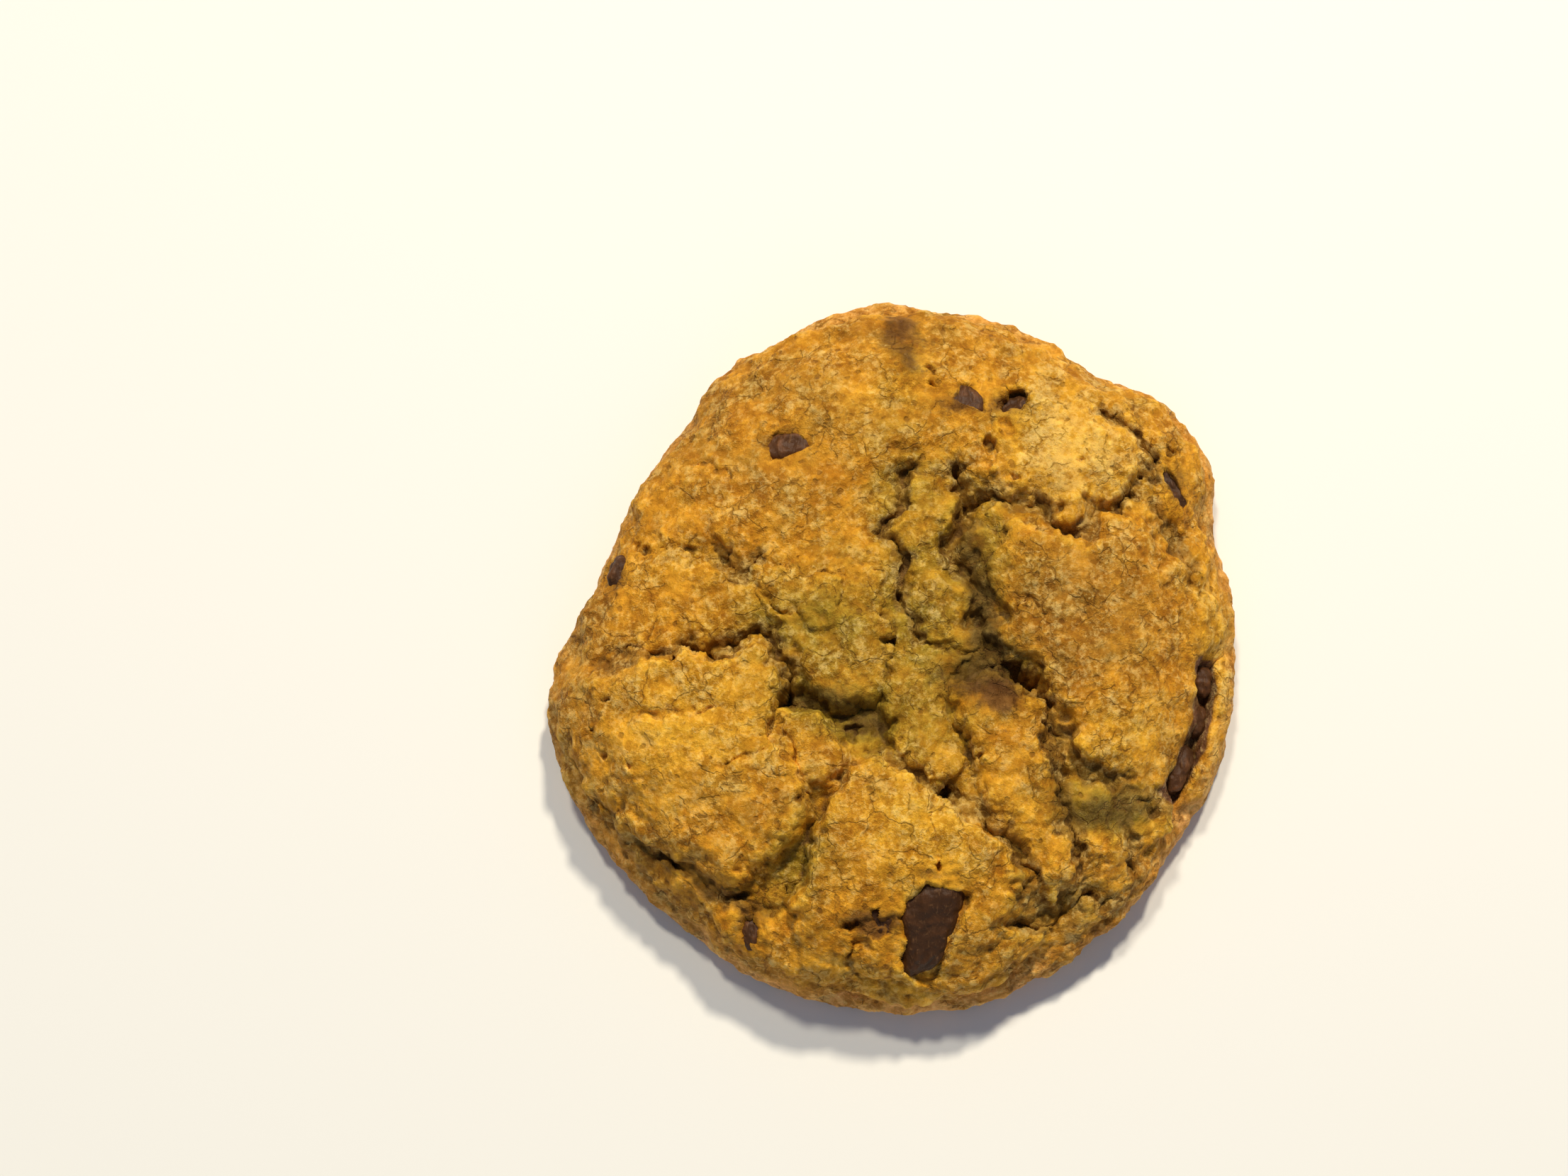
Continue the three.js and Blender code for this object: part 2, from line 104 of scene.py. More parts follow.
def lineDistance(x, y, line):
    best = np.full(np.shape(x), 1e9)
    for (ax, ay), (bx, by) in zip(line, line[1:]):
        dx, dy = bx - ax, by - ay
        t = np.clip(((x - ax) * dx + (y - ay) * dy) / (dx * dx + dy * dy), 0, 1)
        best = np.minimum(best, np.hypot(x - ax - t * dx, y - ay - t * dy))
    return best


def insideDistance(x, y, ring):
    inside = np.zeros(np.shape(x), bool)
    for (ax, ay), (bx, by) in zip(ring, ring[-1:] + ring[:-1]):
        if ay != by:
            inside ^= ((ay > y) != (by > y)) & (x < (bx - ax) * (y - ay) / (by - ay) + ax)
    away = lineDistance(x, y, ring + ring[:1])
    return np.where(inside, away, -away)


# The form of the cookie, in millimetres

form = {
    "meanRadius": 38.5,
    # Waves round the outline: count, size, phase in degrees
    "outlineWaves": [(1, 0.87, 41), (2, 1.05, 127), (3, 0.47, -118), (4, 0.95, 50), (5, 0.25, -152),
                     (6, 0.13, 66), (7, 0.31, -106)],
    # Where the dough spread more or less: middle angle, half width, reach
    "bumps": [(39, 17, 3.5), (62, 26, 2.0), (97, 34, 1.7), (12, 24, -0.6), (298, 14, -0.8), (172, 18, -0.8)],
    "crownHeight": 15.2,
    "crownFall": 4.4,
    "crownRoll": 4.0,
    "sunkMiddle": (-1, 3, 14, 15, 1.2),  # place, reach in x and y, depth
    "shoulderInset": 2.2,
    "shoulderRound": 1.8,
    "lipInset": 2.4,
    "footHeight": 2.6,
    "lips": [(-14, 19, 1.0), (38, 20, 0.25)],  # middle angle, half width, share
    "topShare": 0.66,  # shares of the ball that become the top and the wall, and the rest the foot
    "wallShare": 0.28,
    "footInset": 2.6,
    "layoutShift": 0.6,  # how far the slabs and cracks lie to the front of where they are listed
    # Roughness of the wall: size across, size in height, amount, seed
    "wallRough": [(7, 6, 1.3, 31), (3.2, 3, 0.7, 32), (1.5, 1.4, 0.4, 34)],
    "wallRise": (5, 4, 0.5, 33),
    "mmPerDegree": 0.66,
    "foldReach": 2.2,
    # Shares of the way down the wall: where the relief of the top fades, where the roughness comes, goes
    # and calms, and by how much it calms
    "reliefFades": (0, 0.4),
    "roughComes": (0, 0.2),
    "roughGoes": (0.85, 1),
    "roughCalms": (0.4, 0.7),
    "calmShare": 0.65,
}

# Crust slabs: lift, softness of the edge, tilt per mm, corners
slabs = {
    "leftSlab": (2.1, 0.5, (0.045, 0.01), [
        (-37, -2), (-30, -0.8), (-24.6, -0.3), (-23.5, 0.6), (-20.3, -0.2), (-16, 1.2), (-13.4, 0.2),
        (-12.6, -2), (-12.4, -5), (-14, -9.5), (-11.4, -13), (-9.3, -15.8), (-8.8, -18.5), (-10.5, -20.7),
        (-15, -23.5), (-18, -25), (-20, -24.6), (-22.3, -22.4), (-26, -20.6), (-29, -18.5), (-36, -14)]),
    "lobe": (1.2, 0.4, (0, 0), [
        (-13, -9), (-9, -7.5), (-6, -9.5), (-5.3, -12), (-7, -14.5), (-10, -15), (-14, -12)]),
    "centreSlab": (1.0, 0.4, (0.01, -0.04), [
        (-15, 9), (-8, 10), (-2, 9), (-0.8, 6), (-1, 3), (-1.4, -4.2), (-4.5, -5), (-7, -4.4), (-10, -4),
        (-12, -2)]),
    "innerColumn": (0.6, 0.35, (-0.02, 0), [
        (2, 20), (0.6, 16), (0.4, 13.4), (2.3, 10), (2.2, 5), (3, 1.5), (9, 1), (8.6, 7), (5.6, 11),
        (6.8, 15), (6.8, 20)]),
    "midColumn": (0.7, 0.35, (0, 0.02), [
        (-0.4, 0.5), (8, 0), (5.4, -4.5), (5.4, -8), (7, -11.5), (5, -14.5), (2, -13), (0, -9.5),
        (-0.6, -5)]),
    "frontSlab": (1.9, 0.6, (-0.01, 0.01), [
        (-7.8, -19), (-7, -16.5), (-4, -12.7), (-2, -11.8), (0.4, -13), (2, -15), (7, -16.9), (10, -19),
        (12, -21.5), (13.3, -25), (12.5, -30), (7, -34), (0, -36), (-9, -34.5), (-11.5, -27)]),
    "rightColumn": (1.2, 0.45, (0.02, 0.02), [
        (6, -4.5), (12, -1.5), (15.2, -4.5), (16.4, -9), (16.4, -15), (18.8, -20), (19.6, -24), (16.5, -27),
        (14, -23), (12, -19), (9.5, -15), (7.3, -10)]),
    "rightSlab": (1.2, 0.7, (-0.03, 0.01), [
        (17.5, -6), (16, -1), (12, 1.5), (11, 8), (12, 14), (18, 13.5), (21, 12.4), (23.5, 15.2), (27, 15),
        (30.5, 10), (31, -4), (30, -13.4), (25, -13.8), (22, -12.8), (19.5, -9)]),
    "shinySlab": (1.1, 0.55, (0, -0.03), [
        (12, 19), (15.8, 17.8), (18, 15.7), (20, 14.8), (22, 17), (25.5, 19), (28, 22), (24, 28), (16, 31),
        (11, 27)]),
    "backCrust": (0.5, 2.0, (0, 0.01), [
        (-27, 13.5), (-15, 12), (-3, 19), (4, 24), (8, 30), (4, 36), (-9, 34), (-20, 27)]),
    "valley": (-1.3, 0.9, (0, 0), [
        (-12.6, -3), (-9, -4.2), (-6.8, -4.6), (-2, -4), (-0.4, -5.5), (0, -10.5), (-3, -11.5),
        (-5.2, -9.4), (-7.6, -7.4), (-10, -6.3), (-12.6, -6.4)]),
    "trench": (-1.5, 1.2, (0, 0), [
        (-4, -12), (-6.4, -17), (-7.4, -20), (-10.5, -27), (-14.0, -29), (-17.0, -26.5), (-11, -21),
        (-9.4, -16)]),
    "moistHollow": (-1.0, 1.0, (0, 0), [
        (18, -12), (22, -14.5), (29, -15.5), (28, -19), (22, -21), (18.5, -18)]),
}

# Cracks: half width, depth, the line they follow
cracks = {
    "innerCrack": (0.75, 1.7, [
        (2, 20.5), (1, 17.5), (-0.8, 15.5), (-1, 13.5), (0.5, 12.3), (1.5, 10.5), (0.8, 9), (1.3, 6.5),
        (2, 4.5), (2.8, 2)]),
    "mainCrack": (1.35, 2.7, [
        (7, 21), (7.5, 17.5), (8, 15), (7, 13), (6.5, 11), (8, 9.5), (9.5, 7), (9, 4), (10.3, 1),
        (10.5, -1.5), (14, -2.6)]),
    "mainCrackFoot": (0.8, 2.0, [
        (14, -2.6), (16.5, -6), (17, -8.5), (17, -11), (17.5, -13), (17, -15), (18, -17), (20.3, -22),
        (19.6, -25), (18, -27), (14, -29.5)]),
    "shinyCrack": (0.65, 1.7, [
        (8, 16.8), (12, 18), (13.5, 16.6), (15.5, 17), (17.5, 15), (19, 13.7), (20.5, 13.7), (22, 14.5),
        (22.3, 16.5), (24.5, 17), (26, 18.7)]),
    "shoulderCrack": (0.7, 1.4, [(29, 17.5), (30.3, 14.8), (31.5, 12.5), (33, 9)]),
    "cornerFold": (0.9, 1.4, [(24.5, 28), (26.5, 25.5), (28, 22.8), (28.6, 20.5)]),
    "farCrack": (0.55, 0.9, [(-28.3, 12.9), (-27, 12.2), (-24, 12), (-21.5, 11), (-19, 11)]),
    "farCrackEnd": (0.75, 1.3, [(-19.2, 11), (-17.5, 9.9), (-15.6, 9.7), (-14.5, 10.9)]),
    "leftCrack": (0.65, 1.5, [
        (-32, -1.5), (-30, -0.8), (-27, -0.4), (-24.4, -0.2), (-23, 1.7), (-20.5, 0.4)]),
    "leftCrackEnd": (0.75, 1.9, [
        (-20.5, 0.4), (-18, 1.3), (-16.5, 1.9), (-14.5, 1.9), (-13.1, 0.8), (-12.3, -1.5), (-12, -4.5)]),
    "valleyCrack": (1.1, 0.9, [
        (-12, -4.5), (-9, -5.7), (-6, -6), (-2, -5.7), (-1.5, -8), (-1.2, -10), (0, -11.5), (2, -14),
        (5.5, -15.3)]),
    "valleyEnd": (0.8, 1.5, [
        (5.5, -15.3), (8, -16.3), (10.5, -18), (12, -19.7), (13.5, -22), (14.5, -24.5), (15, -27)]),
    "leftFoot": (1.0, 1.8, [
        (-31, -17), (-29.5, -20), (-27, -21.8), (-23, -22.9), (-20, -25.6), (-18, -26.6), (-15, -27.5)]),
    "columnSeam": (0.55, 0.9, [(5, -4.5), (5.2, -7), (6.5, -9), (7, -11), (9.3, -14)]),
    "rightFoot": (0.85, 1.4, [
        (18.5, -9), (20.5, -13.2), (23.5, -14.6), (25.5, -15.6), (29, -15.6), (31, -14.3)]),
    "frontFoot": (0.8, 1.6, [(20.3, -26.8), (19, -29.6), (17, -33.6), (15, -35.2)]),
    "frontFootSide": (0.5, 1.4, [(14.2, -29.6), (17, -28.8), (20.3, -26.8), (22.7, -27.2)]),
    "sideFoot": (0.7, 1.3, [(25.5, -18), (26.4, -23), (23.5, -27)]),
    "footLobe": (0.5, 1.0, [(-3.8, -31.6), (-5, -34), (-3.3, -35.8), (2.3, -37.4)]),
    "slabNick": (0.5, 0.9, [(-17.8, -12.2), (-15.2, -11.9), (-13.4, -11.2)]),
    "slabWrinkle": (0.4, 0.5, [(-28, -6.5), (-24, -7.2), (-20, -6.6), (-17, -7.6)]),
    "buriedLine": (0.38, 0.8, [(-14.5, 7), (-13, 5), (-10.5, 4.8), (-9, 2.9), (-7.5, 2.7)]),
    "buriedArc": (0.38, 0.8, [(-7.5, 8.4), (-5.6, 7.2), (-5, 5.4), (-5.4, 4)]),
    "columnCross": (0.45, 0.8, [(0.5, 0.3), (3, -0.4), (6, 0.5), (9, 0)]),
    "columnGap": (0.5, 0.8, [(2.2, 8.6), (4.5, 8.9), (6.8, 9.2)]),
    "rightSeam": (0.4, 0.6, [(9.8, 3.4), (12, 3.6), (14.5, 5), (17, 4.2)]),
    "lobeSeam": (0.45, 0.8, [(-12.5, -9.2), (-10.6, -10.8), (-10, -13.2), (-8.8, -15.2)]),
    "backLine": (0.35, 0.5, [(-22, 22.2), (-20, 21.6), (-18.4, 20.4)]),
    "frontSeam": (0.4, 0.6, [(4.5, -17), (4.9, -20), (4.6, -23.4)]),
}

# Folds in the wall: half width, depth, the line they follow as angle and height
wallFolds = {
    "skirtFold": (0.9, 1.1, [(259, 3.4), (263, 5.0), (275, 4.6), (287, 5.2), (297, 7.4), (304, 10.0)]),
    "sideFold": (0.8, 0.8, [(318, 10.0), (326, 7.2), (334, 5.0)]),
    "leftFold": (0.9, 0.7, [(196, 8.6), (207, 6.4), (222, 6.0), (236, 4.4)]),
    "backFold": (0.9, 0.8, [(60, 9.0), (78, 6.4), (97, 6.8), (112, 4.6)]),
    "farFold": (0.8, 0.7, [(128, 5.4), (143, 7.0), (158, 5.2)]),
}

# Pits: x, y, radius, depth
pits = [
    (5.5, -15.3, 1.0, 2.0), (15.5, -3.5, 0.9, 1.8), (-24.3, -1.0, 0.7, 2.0), (25.8, -23, 0.8, 1.6),
    (9.5, 16.5, 1.7, 1.3), (13, 26, 1.4, 1.0), (-4, -8.4, 1.4, 1.4), (-11, -24, 2.0, 0.6),
    (-1, 1.3, 0.75, 1.8), (1.3, 6.5, 0.6, 1.4), (3.5, 32.5, 0.6, 0.8), (3.5, 30.5, 0.6, 0.8),
    (10.5, 23.8, 0.8, 1.2), (7, 20.7, 0.8, 1.2), (13, 20, 0.6, 0.9), (28.5, 22.5, 0.7, 0.9),
    (26.5, 20.3, 0.6, 0.8), (31.2, 23, 0.6, 0.8), (-32.4, -15.4, 0.9, 1.2), (-32.5, -11, 0.6, 0.8),
    (-34, -9, 0.5, 0.8), (-29.3, -12.3, 0.5, 0.7), (4.5, -23.3, 0.45, 0.9), (9, -11.5, 0.5, 1.0),
    (-1, -28.4, 0.6, 1.4), (-4.1, -30.3, 0.7, 1.7), (-23.8, -22.8, 1.0, 1.0), (-15.9, -29.5, 1.1, 0.8),
    (-11.6, -24.9, 0.4, 0.8), (-9.9, -23.0, 0.4, 0.8), (-31.5, -5, 0.5, 0.7), (20.5, 22.0, 0.4, 0.5),
    (-16.8, 1.6, 0.9, 0.8), (12.5, 28.9, 1.3, 1.1), (-7.5, 5.5, 3.2, -1.0),
]


def angleBetween(angle, middle):
    turn = angle - math.radians(middle)
    return np.abs(np.arctan2(np.sin(turn), np.cos(turn)))


# Openings in the crust over the chips: depth, corners
openings = {
    "chip_front": (1.3, [
        (1.4, -27.0), (3.3, -25.3), (8.1, -26.3), (7.8, -27.6), (6.5, -30.4), (4.9, -34.5), (4.0, -36.0),
        (1.2, -34.5), (0.8, -32.9), (1.6, -31.2), (0.8, -28.8)]),
    "chip_front_left": (0.8, [
        (-3.9, -30.6), (-2.2, -30.9), (-0.2, -30.2), (0.2, -28.9), (-1.4, -28.7), (-3.2, -29.3)]),
    "chip_far_left": (0.6, [
        (-13.7, 24.9), (-12.8, 25.3), (-11.0, 24.7), (-8.9, 23.4), (-9.3, 22.9), (-13.6, 21.9),
        (-14.0, 23.4)]),
    "chip_back_middle": (0.8, [
        (6.6, 29.0), (7.4, 31.0), (9.0, 30.9), (10.3, 28.8), (10.0, 27.7), (8.0, 28.4)]),
    "chip_back_right": (1.9, [(12.2, 28.0), (12.7, 30.6), (14.7, 30.8), (15.3, 28.9), (14.2, 27.6)]),
    "chip_right_back": (1.0, [
        (29.9, 21.6), (30.6, 22.0), (31.9, 20.2), (32.7, 17.8), (32.3, 17.0), (31.4, 18.0), (30.7, 19.8)]),
    "chip_low_left": (1.3, [
        (-16.9, -29.0), (-15.2, -28.4), (-14.5, -29.8), (-15.0, -31.4), (-16.3, -31.2)]),
}


def outline(angle):
    reach = form["meanRadius"] + 0 * angle
    for middle, half, size in form["bumps"]:
        away = angleBetween(angle, middle)
        reach += size * (1 - smooth(math.radians(half * 0.25), math.radians(half), away))
    for k, size, phase in form["outlineWaves"]:
        reach = reach + size * np.cos(k * angle - math.radians(phase))
    return reach


def lipAt(angle):
    share = 0 * angle
    for middle, half, size in form["lips"]:
        away = angleBetween(angle, middle)
        share = np.maximum(share, size * (1 - smooth(math.radians(half * 0.45), math.radians(half), away)))
    return share


def shoulderReach(angle):
    return outline(angle) - form["shoulderInset"] - form["lipInset"] * lipAt(angle) - form["shoulderRound"]


def crown(share):
    return form["crownHeight"] - form["crownFall"] * share ** form["crownRoll"]


# Inset from the outline and height of the wall, from the shoulder down to the foot
def wallStations(angle):
    lip = lipAt(angle)
    inset = form["shoulderInset"] + form["lipInset"] * lip
    flat = 0 * angle
    return [
        (inset + 3.4, flat + crown(0.95)),
        (inset + form["shoulderRound"], flat + crown(1)),
        (inset + 0.7, flat + crown(1) - 1.0),
        (inset - 0.2, 8.4 - 1.4 * lip),
        (1.1 + 2.5 * lip, 6.5 - 0.7 * lip),
        (0.4 + 1.9 * lip, 5.2 + 1.9 * lip),
        (0.1 + 0.7 * lip, 4.0 + 1.8 * lip),
        (flat, flat + form["footHeight"]),
        (flat + 0.5, flat + 1.0),
        (flat + 1.5, flat - 0.6),
        (flat + form["footInset"], flat - 1.6),
    ]


# A smooth curve through the stations
def alongStations(stations, share):
    inset = np.stack([s[0] for s in stations])
    height = np.stack([s[1] for s in stations])
    place = 1 + share * (len(stations) - 3)
    i = np.minimum(np.floor(place).astype(int), len(stations) - 3)
    t = place - i
    cols = np.arange(len(i))
    result = []
    for rows in (inset, height):
        a, b, c, d = (rows[i + k, cols] for k in (-1, 0, 1, 2))
        square, cube = 2 * a - 5 * b + 4 * c - d, 3 * b - a - 3 * c + d
        result.append(0.5 * (2 * b + (c - a) * t + square * t ** 2 + cube * t ** 3))
    return result


# How the slabs and cracks are cut, in mm or as shares
carving = {
    # Wandering of all lines: size, amount, level and seed of the noise for x and for y
    "wander": [(4.5, 1.1, (0.5, 11), (7.5, 13)), (2.1, 1.0, (3.5, 12), (9.5, 14)),
               (0.95, 0.5, (4.5, 15), (6.5, 16))],
    "inland": (-1, 4),
    "shoulderShare": 0.45,  # how much of a slab's lift is left at the shoulder
    "softFrom": 1.5,  # raised slabs round over, those with a softer edge than this and the sunk ones slope
    "edgeShift": 0.25,
    "edgeReach": 5.5,
    "opening": {"size": 3.2, "middle": 0.7, "swing": 1.3, "most": 1.35, "least": 0.35},
    "shallow": (1.2, 0.6),
    "dip": {"share": 0.5, "reach": 3, "more": 0.7},
    "cut": {"share": 0.65, "from": 0.2, "to": 1.15},
    "pitEdge": (0.4, 1.2),
    "pocketEdge": (-0.25, 0.3),
    "pocketWander": 0.35,
    # Swells of the whole crust: size, amount, level, seed
    "swells": [(8, 0.75, 1.5, 21), (3.6, 0.5, 2.5, 22)],
}


def warped(x, y):
    wx, wy = x, y
    for size, amount, (levelX, seedX), (levelY, seedY) in carving["wander"]:
        wx = wx + amount * noise(x / size, y / size, levelX, seedX)
        wy = wy + amount * noise(x / size, y / size, levelY, seedY)
    return wx, wy


# Height of the crust over the crown, and how near a crack is
def relief(x, y, withOpenings=True):
    inland = smooth(*carving["inland"], shoulderReach(np.arctan2(y, x)) - np.hypot(x, y))
    held = carving["shoulderShare"] + (1 - carving["shoulderShare"]) * inland
    swell = sum(amount * noise(x / size, y / size, level, seed)
                for size, amount, level, seed in carving["swells"])
    y = y + form["layoutShift"]
    wx, wy = warped(x, y)
    sx, sy, rx, ry, deep = form["sunkMiddle"]
    height = -deep * np.exp(-((x - sx) / rx) ** 2 - ((y - sy) / ry) ** 2)
    for lift, soft, tilt, ring in slabs.values():
        mx = sum(p[0] for p in ring) / len(ring)
        my = sum(p[1] for p in ring) / len(ring)
        inside = insideDistance(wx, wy, ring)
        if lift > 0 and soft < carving["softFrom"]:
            short = 1 - np.clip((inside + carving["edgeShift"]) / (carving["edgeReach"] * soft), 0, 1)
            share = np.sqrt(1 - short ** 2)
        else:
            share = smooth(-soft, soft, inside)
        height += share * held * (lift + tilt[0] * (x - mx) + tilt[1] * (y - my))
    how, dip, cut = carving["opening"], carving["dip"], carving["cut"]
    opening = how["middle"] + how["swing"] * noise(x / how["size"], y / how["size"], 5.5, 41)
    opening = np.clip(opening, 0.0, how["most"])
    nearest = np.full(np.shape(x), 99.0)
    for half, deep, line in cracks.values():
        away = lineDistance(wx, wy, line)
        nearest = np.minimum(nearest, away - half + 2 * smooth(*carving["shallow"], deep))
        wide = half * (how["least"] + opening)
        height -= dip["share"] * deep * (1 - smooth(0, dip["reach"] * half + dip["more"], away))
        sheer = 1 - smooth(wide * cut["from"], wide * cut["to"], away)
        height -= cut["share"] * deep * np.minimum(opening + 0.1, 1) * sheer
    for px, py, radius, deep in pits:
        low, high = (radius * edge for edge in carving["pitEdge"])
        height -= deep * (1 - smooth(low, high, np.hypot(wx - px, wy - py)))
    if withOpenings:
        ox, oy = x + carving["pocketWander"] * (wx - x), y + carving["pocketWander"] * (wy - y)
        for deep, ring in openings.values():
            height -= deep * smooth(*carving["pocketEdge"], insideDistance(ox, oy, ring))
    return height + swell, nearest


# Where each point of the ball goes, with what the masks need to know of it
def cookieForm(direction):
    share = (1 - direction[:, 2]) / 2
    angle = np.arctan2(direction[:, 1], direction[:, 0])
    c, s = np.cos(angle), np.sin(angle)
    topShare, wallShare = form["topShare"], form["wallShare"]
    point = np.zeros_like(direction)
    isTop = share <= topShare
    isFoot = share > topShare + wallShare
    isWall = ~isTop & ~isFoot

    reach = shoulderReach(angle) * np.sqrt(np.minimum(share / topShare, 1))
    x, y = reach * c, reach * s
    down = np.clip((share - topShare) / wallShare, 0, 1)
    inset, wallHeight = alongStations(wallStations(angle), down)
    wallX, wallY = (outline(angle) - inset) * c, (outline(angle) - inset) * s
    x = np.where(isTop, x, wallX)
    y = np.where(isTop, y, wallY)
    z = np.where(isTop, crown(np.sqrt(np.minimum(share / topShare, 1))), wallHeight)
    fade = np.where(isTop, 1, 1 - smooth(*form["reliefFades"], down))
    held = smooth(*form["roughComes"], down) * (1 - smooth(*form["roughGoes"], down)) * isWall
    calm = 1 - form["calmShare"] * smooth(*form["roughCalms"], down)
    rough = calm * sum(amount * noise(x / across, y / across, z / high, seed)
                       for across, high, amount, seed in form["wallRough"])
    along = np.degrees(angle) % 360 * form["mmPerDegree"]
    for half, deep, line in wallFolds.values():
        away = lineDistance(along, z, [(degrees * form["mmPerDegree"], height) for degrees, height in line])
        rough = rough - deep * (1 - smooth(0, form["foldReach"] * half, away))
    across, high, amount, seed = form["wallRise"]
    rise = held * amount * noise(x / across, y / across, z / high, seed)
    lift, nearest = relief(x, y)
    lift = fade * lift
    point[:, 0] = x + c * held * rough
    point[:, 1] = y + s * held * rough
    point[:, 2] = z + lift + rise
    footShare = np.sqrt(np.maximum(1 - share, 0) / (1 - topShare - wallShare))
    footReach = (outline(angle) - form["footInset"]) * footShare
    point[isFoot] = np.stack([footReach * c, footReach * s, np.zeros_like(c)], 1)[isFoot]
    point[:, 2] = np.maximum(point[:, 2], 0)
    return point, isFoot, down, lift, nearest


# Mesh work

def deselectAll():
    for thing in bpy.context.selected_objects:
        thing.select_set(False)


def readPoints(mesh):
    flat = np.empty(len(mesh.vertices) * 3, np.float32)
    mesh.vertices.foreach_get("co", flat)
    return flat.reshape(-1, 3).astype(float)


def writePoints(mesh, points):
    mesh.vertices.foreach_set("co", np.ascontiguousarray(points, np.float32).ravel())
    mesh.update()


def readTriangles(mesh):
    flat = np.empty(len(mesh.loops), np.int32)
    mesh.loops.foreach_get("vertex_index", flat)
    return flat.reshape(-1, 3)


def readEdges(mesh):
    flat = np.empty(len(mesh.edges) * 2, np.int32)
    mesh.edges.foreach_get("vertices", flat)
    return flat.reshape(-1, 2)


def normalsOf(points, triangles):
    a, b, c = (points[triangles[:, k]] for k in range(3))
    face = np.cross(b - a, c - a)
    total = np.stack([sum(np.bincount(triangles[:, k], face[:, axis], len(points)) for k in range(3))
                      for axis in range(3)], 1)
    return total / np.maximum(np.linalg.norm(total, axis=1, keepdims=True), 1e-12)


# Each value drawn half way to the mean of its neighbours, some rounds long
def averaged(values, edges, count, rounds):
    if values.ndim > 1:
        return np.stack([averaged(column, edges, count, rounds) for column in values.T], 1)
    first, second = edges.T
    degree = np.bincount(edges.ravel(), minlength=count)
    for _ in range(rounds):
        total = np.bincount(first, values[second], count) + np.bincount(second, values[first], count)
        values = 0.5 * values + 0.5 * total / degree
    return values


def addMask(mesh, name, values):
    layer = mesh.attributes.new(name, "FLOAT", "POINT")
    layer.data.foreach_set("value", np.ascontiguousarray(np.clip(values, -4, 4), np.float32))


def applyModifier(piece, name):
    bpy.context.view_layer.objects.active = piece
    bpy.ops.object.modifier_apply(modifier=name)


def patchSum(x, y, patches):
    total = np.zeros_like(x)
    for px, py, rx, ry, amount in patches:
        total += amount * np.exp(-((x - px) / rx) ** 2 - ((y - py) / ry) ** 2)
    return total


# Dough

dough = {
    "ballSteps": 8,
    "inflate": 0.15,
    "inflateLeast": 0.35,
    "proudFrom": (-0.5, 0.35),
    "crackNear": 2.4,
    "sunkFrom": (0.2, -1.8),
    "coarseLeast": 0.3,
    # Size, depth in mm, seed, and how far it keeps to the coarse places
    "lumps": [(1.6, 0.2, 61, 1.0), (0.85, 0.24, 62, 0.5), (0.5, 0.14, 63, 0.0)],
    "torn": [(2.6, 0.4, 64, 0.5), (1.2, 0.32, 65, 0.8), (0.65, 0.18, 66, 0.65)],
    "wander": (1.5, 0.3),  # size and reach
    "footCrumb": 0.25,
    "moistCalm": 0.55,
    "crest": (16.3, 0.55),  # height over which the crust is pressed down, and by what share
    "keepShare": 0.6,
}

# The slot over the lip: where it starts along the lip and across it, how high and how deep it is, in mm
slotShape = {
    "along": (0.25, 0.7),
    "inset": 3.6,
    "across": (0.5, 1.7),
    "height": (3.5, 5),
    "deepHeight": (3.8, 6.5),
    "deep": 1.0,
    "wander": (2.2, 0.5),
}

